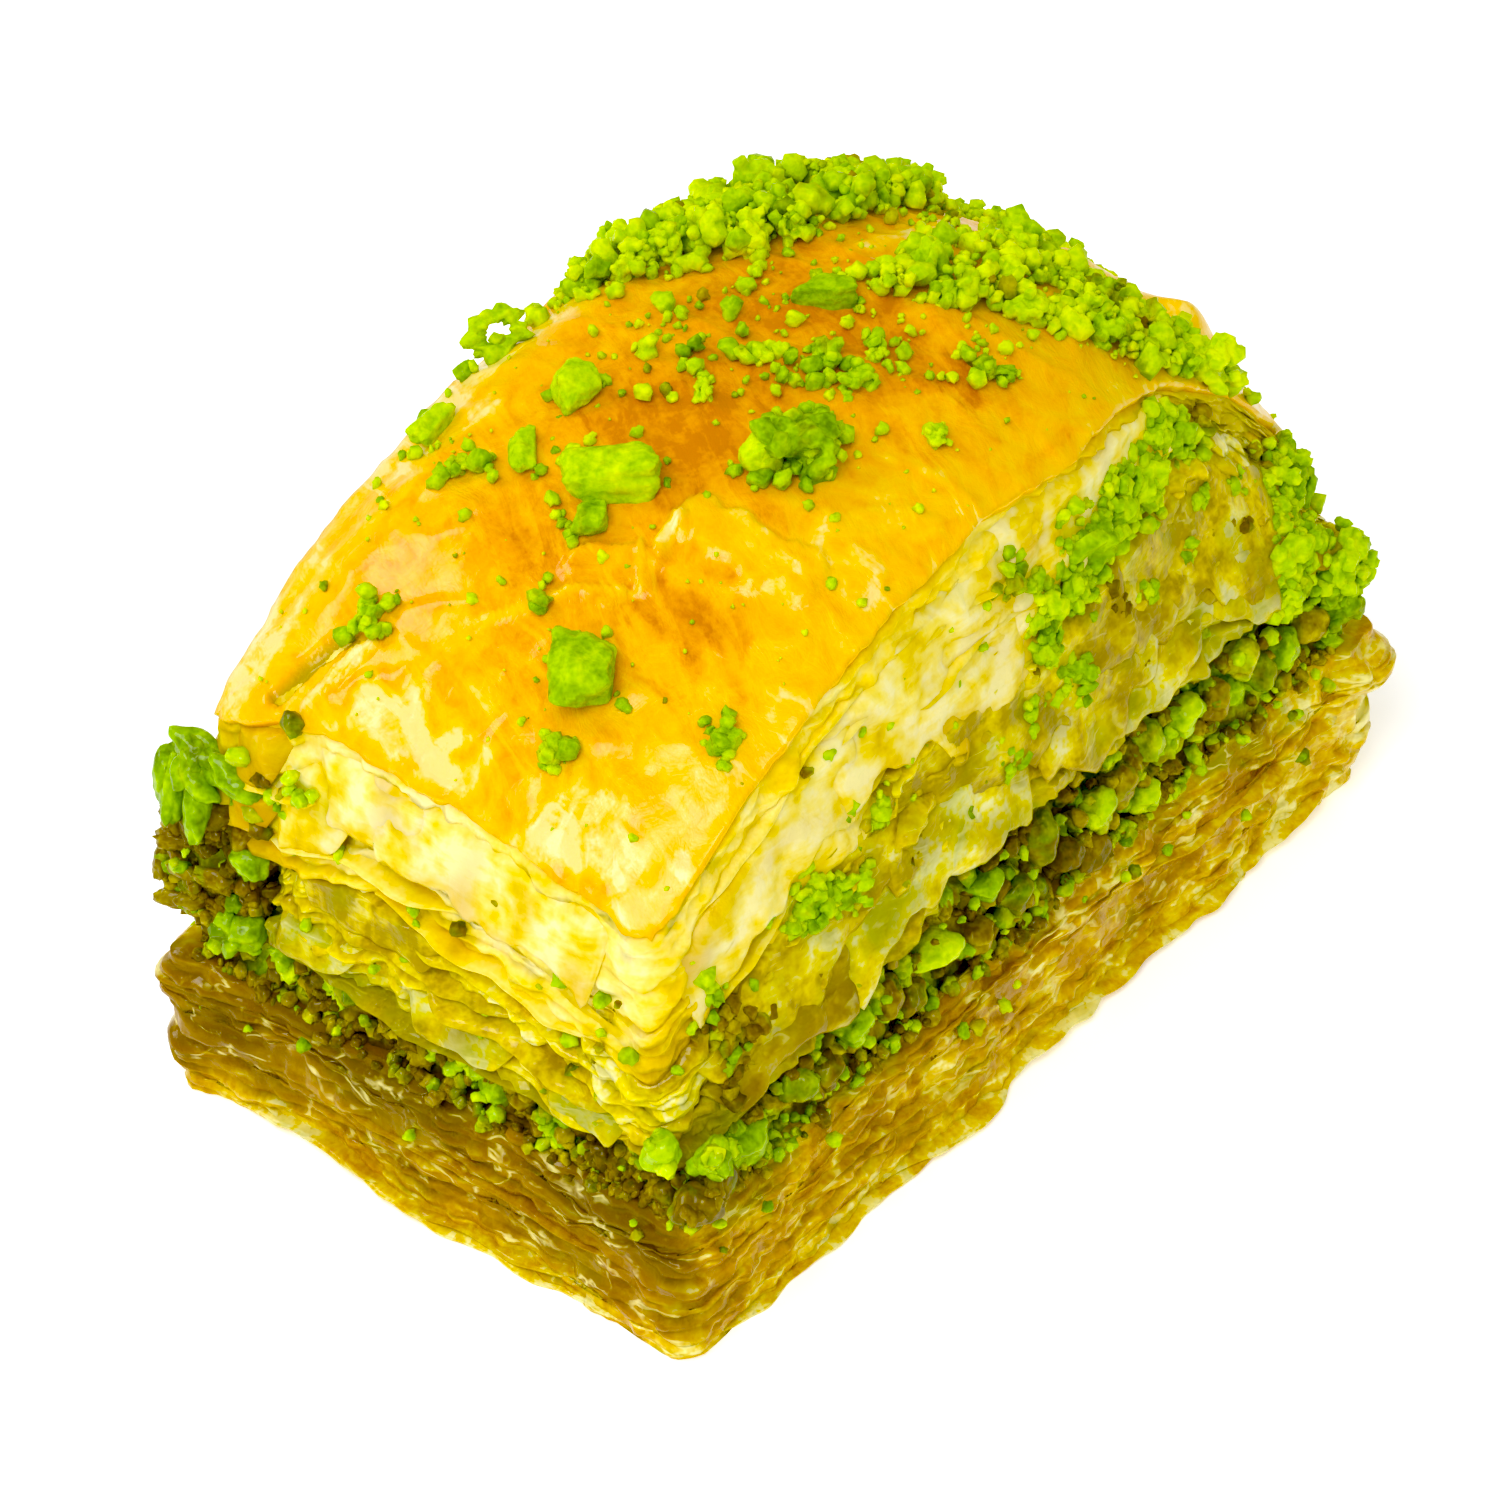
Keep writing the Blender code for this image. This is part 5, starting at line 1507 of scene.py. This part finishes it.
def leaf_material(name, wet_to_dry, deep, stain, roughness, coat, bump, glow, glint, mottle, speckle):
    material, tree, shader, place, tone = new_material(name)
    flat = add_node(tree, "ShaderNodeMapping", {"Scale": (0.25, 0.25, 1.6)}, {"Vector": (place, "Object")})
    layers = add_node(tree, "ShaderNodeTexNoise", {"Scale": lumps(0.5), "Detail": 3.0, "Distortion": 0.3},
                      {"Vector": (flat, "Vector")})
    spots = add_node(tree, "ShaderNodeTexNoise", {"Scale": lumps(0.8), "Detail": 3.5, "Roughness": 0.54,
                                                  "Distortion": 0.5}, {"Vector": (place, "Object")})
    grain = add_node(tree, "ShaderNodeTexNoise", {"Scale": lumps(0.17), "Detail": 1.5},
                     {"Vector": (place, "Object")})
    layer_swing = add_node(tree, "ShaderNodeMapRange", {"From Min": 0.25, "From Max": 0.75, "To Min": -0.22,
                                                        "To Max": 0.22}, {"Value": (layers, "Fac")})
    spot_swing = add_node(tree, "ShaderNodeMapRange", {"From Min": 0.3, "From Max": 0.7, "To Min": -mottle,
                                                       "To Max": mottle}, {"Value": (spots, "Fac")})
    grain_swing = add_node(tree, "ShaderNodeMapRange", {"From Min": 0.3, "From Max": 0.7, "To Min": -speckle,
                                                        "To Max": speckle}, {"Value": (grain, "Fac")})
    coarse_swing = add_node(tree, "ShaderNodeMath", {"operation": "ADD"},
                            {0: (layer_swing, "Result"), 1: (spot_swing, "Result")})
    swing = add_node(tree, "ShaderNodeMath", {"operation": "ADD"},
                     {0: (coarse_swing, "Value"), 1: (grain_swing, "Result")})
    dry = add_node(tree, "ShaderNodeMath", {"operation": "ADD"}, {0: (tone, "Green"), 1: (swing, "Value")})
    body = add_node(tree, "ShaderNodeValToRGB", {"stops": wet_to_dry}, {"Fac": (dry, "Value")})
    stain_sum = add_node(tree, "ShaderNodeMath", {"operation": "ADD"},
                         {0: (tone, "Blue"), 1: (spot_swing, "Result")})
    stain_share = add_node(tree, "ShaderNodeMapRange", {"From Min": 0.25, "From Max": 1.0, "To Max": 0.85},
                           {"Value": (stain_sum, "Value")})
    stained = add_node(tree, "ShaderNodeMix", {"data_type": "RGBA", MIX_SECOND: from_hex(stain)},
                       {MIX_AMOUNT: (stain_share, "Result"), MIX_FIRST: (body, "Color")})
    # Red mixes in the deep colour: painted shade in grooves and crevices, and the slab's browning.
    shade_and_brown_share = add_node(tree, "ShaderNodeMapRange", {"From Min": 0.1, "From Max": 1.0, "To Max": 0.92},
                          {"Value": (tone, "Red")})
    shaded_and_browned = add_node(tree, "ShaderNodeMix", {"data_type": "RGBA", MIX_SECOND: from_hex(deep)},
                        {MIX_AMOUNT: (shade_and_brown_share, "Result"), MIX_FIRST: (stained, MIX_RESULT)})
    # Painted highlight: thin pale wavy lines, the glints of syrup on the leaves, mixed towards the palest colour of
    # the ramp and raised a little by bump.
    waved = add_node(tree, "ShaderNodeMapping", {"Scale": (0.5, 0.5, 1.6)}, {"Vector": (place, "Object")})
    glint_pattern = add_node(tree, "ShaderNodeTexNoise", {"Scale": lumps(1.1), "Detail": 2.0, "Distortion": 0.9},
                     {"Vector": (waved, "Vector")})
    from_middle = add_node(tree, "ShaderNodeMath", {"operation": "SUBTRACT", 1: 0.5}, {0: (glint_pattern, "Fac")})
    apart = add_node(tree, "ShaderNodeMath", {"operation": "ABSOLUTE"}, {0: (from_middle, "Value")})
    line = add_node(tree, "ShaderNodeMapRange", {"From Min": 0.008, "From Max": 0.035, "To Min": 1.0,
                                                 "To Max": 0.0}, {"Value": (apart, "Value")})
    shown = add_node(tree, "ShaderNodeMapRange", {"From Min": 0.47, "From Max": 0.6, "To Max": glint},
                     {"Value": (spots, "Fac")})
    painted_glint_share = add_node(tree, "ShaderNodeMath", {"operation": "MULTIPLY"},
                          {0: (line, "Result"), 1: (shown, "Result")})
    painted_glint_mix = add_node(tree, "ShaderNodeMix", {"data_type": "RGBA", MIX_SECOND: from_hex(wet_to_dry[-1][1])},
                     {MIX_AMOUNT: (painted_glint_share, "Value"), MIX_FIRST: (shaded_and_browned, MIX_RESULT)})
    rough = add_node(tree, "ShaderNodeMapRange", {"To Min": roughness - 0.12, "To Max": roughness + 0.15},
                     {"Value": (spots, "Fac")})
    bands = add_node(tree, "ShaderNodeBump", {"Strength": bump, "Distance": 0.16 * MM},
                     {"Height": (layers, "Fac")})
    crumpled = add_node(tree, "ShaderNodeBump", {"Strength": bump, "Distance": 0.3 * MM},
                        {"Height": (spots, "Fac"), "Normal": (bands, "Normal")})
    raised = add_node(tree, "ShaderNodeBump", {"Strength": bump, "Distance": 0.08 * MM},
                      {"Height": (painted_glint_share, "Value"), "Normal": (crumpled, "Normal")})
    fine = add_node(tree, "ShaderNodeBump", {"Strength": bump, "Distance": 0.06 * MM},
                    {"Height": (grain, "Fac"), "Normal": (raised, "Normal")})
    tree.links.new(painted_glint_mix.outputs[MIX_RESULT], shader.inputs["Base Color"])
    tree.links.new(rough.outputs["Result"], shader.inputs["Roughness"])
    tree.links.new(fine.outputs["Normal"], shader.inputs["Normal"])
    shader.inputs["IOR"].default_value = SYRUP_IOR
    shader.inputs["Coat Weight"].default_value = coat
    shader.inputs["Coat Roughness"].default_value = 0.12
    shader.inputs["Subsurface Weight"].default_value = glow
    shader.inputs["Subsurface Radius"].default_value = (1.0, 0.7, 0.2)
    shader.inputs["Subsurface Scale"].default_value = 1.2 * MM
    return material


puffed_filo = leaf_material(
    "puffed_filo", ((0.0, "#D4AC00"), (0.3, "#ECC60C"), (0.55, "#F8DA48"), (0.8, "#FDE87C"), (1.0, "#FFF0A4")),
    deep="#C48C00", stain="#B0B400", roughness=0.45, coat=0.15, bump=0.5, glow=0.2, glint=0.15, mottle=0.17,
    speckle=0.08)
soaked_filo = leaf_material(
    "soaked_filo", ((0.0, "#A88C00"), (0.3, "#D2B400"), (0.55, "#EAD000"), (0.8, "#F6E43C"), (1.0, "#F8F0A0")),
    deep="#7C5800", stain="#8C9200", roughness=0.32, coat=0.25, bump=0.6, glow=0.2, glint=0.25, mottle=0.3,
    speckle=0.18)
slab_filo = leaf_material(
    "syrup_slab_filo", ((0.0, "#A86E00"), (0.35, "#C48E00"), (0.6, "#D8AE08"), (0.85, "#EACE48"), (1.0, "#F8EC98")),
    deep="#684400", stain="#908C00", roughness=0.28, coat=0.35, bump=0.6, glow=0.15, glint=0.7, mottle=0.36,
    speckle=0.14)
print("leaf materials:", puffed_filo.name, soaked_filo.name, slab_filo.name)

# %% [markdown]
# ## The crust's material
# The crust's colour comes from its toast, which was stored on its points: cream, yellow, gold, orange.
# Noise from a millimetre down to a tenth breaks it up, and a brushed-on film of butter gives the coat.

# %% Crust material
BRUSH_TURN = math.radians(60)


def crust_material():
    material, tree, shader, place, tone = new_material("baked_golden_filo")
    patches = add_node(tree, "ShaderNodeTexNoise", {"Scale": lumps(1.1), "Detail": 4.0, "Roughness": 0.62,
                                                    "Distortion": 1.3}, {"Vector": (place, "Object")})
    brushed = add_node(tree, "ShaderNodeMapping",
                       {"vector_type": "TEXTURE", "Rotation": (0, 0, BRUSH_TURN), "Scale": (2.4, 0.8, 1.0)},
                       {"Vector": (place, "Object")})
    flakes = add_node(tree, "ShaderNodeTexNoise", {"Scale": lumps(1.5), "Detail": 4.5, "Roughness": 0.6,
                                                   "Distortion": 1.6}, {"Vector": (brushed, "Vector")})
    streaks = add_node(tree, "ShaderNodeTexNoise", {"Scale": lumps(0.55), "Detail": 3.5, "Roughness": 0.6,
                                                    "Distortion": 0.7}, {"Vector": (brushed, "Vector")})
    grain = add_node(tree, "ShaderNodeTexNoise", {"Scale": lumps(0.13), "Detail": 1.5},
                     {"Vector": (place, "Object")})
    patch_swing = add_node(tree, "ShaderNodeMapRange", {"From Min": 0.3, "From Max": 0.7, "To Min": -0.13,
                                                        "To Max": 0.13}, {"Value": (patches, "Fac")})
    streak_swing = add_node(tree, "ShaderNodeMapRange", {"From Min": 0.3, "From Max": 0.7, "To Min": -0.12,
                                                         "To Max": 0.12}, {"Value": (streaks, "Fac")})
    grain_swing = add_node(tree, "ShaderNodeMapRange", {"From Min": 0.3, "From Max": 0.7, "To Min": -0.05,
                                                        "To Max": 0.05}, {"Value": (grain, "Fac")})
    coarse_swing = add_node(tree, "ShaderNodeMath", {"operation": "ADD"},
                            {0: (patch_swing, "Result"), 1: (streak_swing, "Result")})
    swing = add_node(tree, "ShaderNodeMath", {"operation": "ADD"},
                     {0: (coarse_swing, "Value"), 1: (grain_swing, "Result")})
    browned = add_node(tree, "ShaderNodeMath", {"operation": "ADD"}, {0: (tone, "Red"), 1: (swing, "Value")})
    bare = add_node(tree, "ShaderNodeMapRange", {"From Min": 0.51, "From Max": 0.61, "To Max": 0.3},
                    {"Value": (flakes, "Fac")})
    lost = add_node(tree, "ShaderNodeMath", {"operation": "MULTIPLY"}, {0: (bare, "Result"), 1: (tone, "Green")})
    toast = add_node(tree, "ShaderNodeMath", {"operation": "SUBTRACT"}, {0: (browned, "Value"), 1: (lost, "Value")})
    baked = add_node(tree, "ShaderNodeValToRGB",
                     {"stops": ((0.0, "#FCDC86"), (0.1, "#FCD058"), (0.2, "#FAC628"), (0.36, "#FABE0A"),
                                (0.56, "#F8B200"), (0.74, "#F0A000"), (0.9, "#E28C00"), (1.0, "#D07800"))},
                     {"Fac": (toast, "Value")})
    coloured = add_node(tree, "ShaderNodeMix", {"data_type": "RGBA", MIX_SECOND: from_hex("#B09200")},
                        {MIX_AMOUNT: (tone, "Blue"), MIX_FIRST: (baked, "Color")})
    rough = add_node(tree, "ShaderNodeMapRange", {"To Min": 0.24, "To Max": 0.5}, {"Value": (patches, "Fac")})
    wrinkled = add_node(tree, "ShaderNodeBump", {"Strength": 0.6, "Distance": 0.16 * MM},
                        {"Height": (patches, "Fac")})
    coarse = add_node(tree, "ShaderNodeBump", {"Strength": 0.6, "Distance": 0.12 * MM},
                      {"Height": (streaks, "Fac"), "Normal": (wrinkled, "Normal")})
    peeled = add_node(tree, "ShaderNodeBump", {"Strength": 0.5, "Distance": 0.06 * MM, "invert": True},
                      {"Height": (lost, "Value"), "Normal": (coarse, "Normal")})
    fine = add_node(tree, "ShaderNodeBump", {"Strength": 0.4, "Distance": 0.04 * MM},
                    {"Height": (grain, "Fac"), "Normal": (peeled, "Normal")})
    tree.links.new(coloured.outputs[MIX_RESULT], shader.inputs["Base Color"])
    tree.links.new(rough.outputs["Result"], shader.inputs["Roughness"])
    tree.links.new(fine.outputs["Normal"], shader.inputs["Normal"])
    shader.inputs["IOR"].default_value = SYRUP_IOR
    shader.inputs["Coat Weight"].default_value = 0.4
    shader.inputs["Coat Roughness"].default_value = 0.18
    shader.inputs["Subsurface Weight"].default_value = 0.12
    shader.inputs["Subsurface Radius"].default_value = (1.0, 0.6, 0.15)
    shader.inputs["Subsurface Scale"].default_value = 0.8 * MM
    return material


baked_filo = crust_material()
print("crust material:", baked_filo.name)

# %% [markdown]
# ## Pistachio
# The flesh of a pistachio is a saturated yellow-green, wet and smooth where it is cut, with scraps of
# darker skin. Cooked pieces in the band are olive to brown.

# %% Nut material
def nut_material(name, roughness, coat):
    material, tree, shader, place, tone = new_material(name)
    mottle = add_node(tree, "ShaderNodeTexNoise", {"Scale": lumps(0.5), "Detail": 3.0, "Roughness": 0.6},
                      {"Vector": (place, "Object")})
    skin = add_node(tree, "ShaderNodeTexNoise", {"Scale": lumps(1.0), "Detail": 3.0, "Distortion": 0.8},
                    {"Vector": (place, "Object")})
    pits = add_node(tree, "ShaderNodeTexNoise", {"Scale": lumps(0.18), "Detail": 1.5},
                    {"Vector": (place, "Object")})
    mottle_swing = add_node(tree, "ShaderNodeMapRange", {"From Min": 0.3, "From Max": 0.7, "To Min": -0.22,
                                                         "To Max": 0.22}, {"Value": (mottle, "Fac")})
    pit_swing = add_node(tree, "ShaderNodeMapRange", {"From Min": 0.3, "From Max": 0.7, "To Min": -0.14,
                                                      "To Max": 0.14}, {"Value": (pits, "Fac")})
    swing = add_node(tree, "ShaderNodeMath", {"operation": "ADD"},
                     {0: (mottle_swing, "Result"), 1: (pit_swing, "Result")})
    bright = add_node(tree, "ShaderNodeMath", {"operation": "ADD"}, {0: (tone, "Green"), 1: (swing, "Value")})
    flesh = add_node(tree, "ShaderNodeValToRGB",
                     {"stops": ((0.0, "#5A8200"), (0.25, "#82AE00"), (0.5, "#A4CC00"), (0.75, "#C0DE00"),
                                (1.0, "#DCF014"))}, {"Fac": (bright, "Value")})
    cooked = add_node(tree, "ShaderNodeValToRGB",
                      {"stops": ((0.0, "#442C00"), (0.35, "#7A5800"), (0.6, "#9C8600"), (0.85, "#BCAA00"),
                                 (1.0, "#D0C420"))}, {"Fac": (bright, "Value")})
    skin_swing = add_node(tree, "ShaderNodeMapRange", {"From Min": 0.3, "From Max": 0.7, "To Min": -0.3,
                                                       "To Max": 0.3}, {"Value": (skin, "Fac")})
    brown = add_node(tree, "ShaderNodeMath", {"operation": "ADD"},
                     {0: (tone, "Blue"), 1: (skin_swing, "Result")})
    brown_share = add_node(tree, "ShaderNodeMapRange", {"From Min": 0.25, "From Max": 0.8},
                           {"Value": (brown, "Value")})
    coloured = add_node(tree, "ShaderNodeMix", {"data_type": "RGBA"},
                        {MIX_AMOUNT: (brown_share, "Result"), MIX_FIRST: (flesh, "Color"),
                         MIX_SECOND: (cooked, "Color")})
    # Red darkens towards near black: darker skin, and painted shade on the mush and on pieces deep in the spill.
    skin_and_shade_share = add_node(tree, "ShaderNodeMapRange", {"From Min": 0.25, "From Max": 1.0, "To Max": 0.85},
                          {"Value": (tone, "Red")})
    skin_and_shade_darkened = add_node(tree, "ShaderNodeMix", {"data_type": "RGBA", MIX_SECOND: from_hex("#3C2400")},
                        {MIX_AMOUNT: (skin_and_shade_share, "Result"), MIX_FIRST: (coloured, MIX_RESULT)})
    rough = add_node(tree, "ShaderNodeMapRange", {"To Min": roughness - 0.1, "To Max": roughness + 0.2},
                     {"Value": (mottle, "Fac")})
    coarse = add_node(tree, "ShaderNodeBump", {"Strength": 0.8, "Distance": 0.2 * MM},
                      {"Height": (mottle, "Fac")})
    fine = add_node(tree, "ShaderNodeBump", {"Strength": 0.7, "Distance": 0.1 * MM},
                    {"Height": (pits, "Fac"), "Normal": (coarse, "Normal")})
    tree.links.new(skin_and_shade_darkened.outputs[MIX_RESULT], shader.inputs["Base Color"])
    tree.links.new(rough.outputs["Result"], shader.inputs["Roughness"])
    tree.links.new(fine.outputs["Normal"], shader.inputs["Normal"])
    shader.inputs["Coat Weight"].default_value = coat
    shader.inputs["Coat Roughness"].default_value = 0.2
    shader.inputs["Subsurface Weight"].default_value = 0.35
    shader.inputs["Subsurface Radius"].default_value = (0.8, 1.0, 0.1)
    shader.inputs["Subsurface Scale"].default_value = 0.5 * MM
    return material


fresh_nut = nut_material("crushed_pistachio", 0.5, 0.15)
wet_nut = nut_material("syrup_soaked_pistachio", 0.34, 0.35)
print("nut materials:", fresh_nut.name, wet_nut.name)

# %% [markdown]
# ## Everything in its place
# Each piece gets its material, and the main ones take over from the CAD nodes.

# %% Finish the pieces
finish_piece(base_slab, slab_filo, "soaked_pastry", "base_pastry")
finish_piece(base_loose, slab_filo, "soaked_pastry")
finish_piece(nut_filling, wet_nut, "pistachio", "pistachio_filling")
finish_piece(band_nuts, wet_nut, "pistachio")
finish_piece(band_crumbs, wet_nut, "pistachio")
finish_piece(middle_leaves, soaked_filo, "syrupy_pastry", "middle_pastry")
finish_piece(soaked_loose, soaked_filo, "syrupy_pastry")
finish_piece(puffed_leaves, puffed_filo, "golden_crust", "top_pastry")
finish_piece(puffed_loose, puffed_filo, "golden_crust")
finish_piece(golden_crust, baked_filo, "golden_crust")
finish_piece(pistachio_chunks, fresh_nut, "pistachio")
finish_piece(pistachio_crumbs, fresh_nut, "pistachio")
finish_piece(pistachio_dust, fresh_nut, "pistachio")
finish_piece(wall_nuts, fresh_nut, "pistachio")
finish_piece(wall_crumbs, fresh_nut, "pistachio")

# %% [markdown]
# ## Light
# The photograph was taken in soft, even light against pure white. A white world does most of it, a large
# softbox above the long side brightens it, and a smaller one behind gives the syrup something to reflect.

# %% Stage and light
BLACK_LEVEL = (0.012, 0.008, 0.1)


def add_softbox(name, place, size, power):
    start_afresh()
    bpy.ops.object.light_add(type="AREA", location=place)
    box = bpy.context.object
    box.name = name
    box.data.shape = "SQUARE"
    box.data.size = size
    box.data.energy = power
    box.rotation_euler = (VIEW_TARGET - box.location).to_track_quat("-Z", "Y").to_euler()


start_afresh()
bpy.ops.mesh.primitive_plane_add(size=4.0)
floor = take_new_object("floor")
white_card = bpy.data.materials.new("white_card")
white_card.use_nodes = True
card = white_card.node_tree.nodes["Principled BSDF"]
card.inputs["Base Color"].default_value = from_hex("#FFFFFF")
card.inputs["Roughness"].default_value = 0.9
card.inputs["Specular IOR Level"].default_value = 0.1
card.inputs["Emission Color"].default_value = from_hex("#FFFFFF")
card.inputs["Emission Strength"].default_value = 0.3
floor.data.materials.append(white_card)

world = bpy.data.worlds.new("white_studio")
world.use_nodes = True
world.node_tree.nodes["Background"].inputs["Color"].default_value = from_hex("#FFFFFF")
world.node_tree.nodes["Background"].inputs["Strength"].default_value = 0.62
bpy.context.scene.world = world
view = bpy.context.scene.view_settings
view.view_transform = "Standard"
view.use_curve_mapping = True
view.curve_mapping.black_level = BLACK_LEVEL
view.curve_mapping.update()
add_softbox("softbox_above", (-0.32, -0.10, 0.45), 0.25, 1.35)
add_softbox("softbox_behind", (-0.15, 0.45, 0.4), 0.2, 0.7)

bpy.context.view_layer.update()
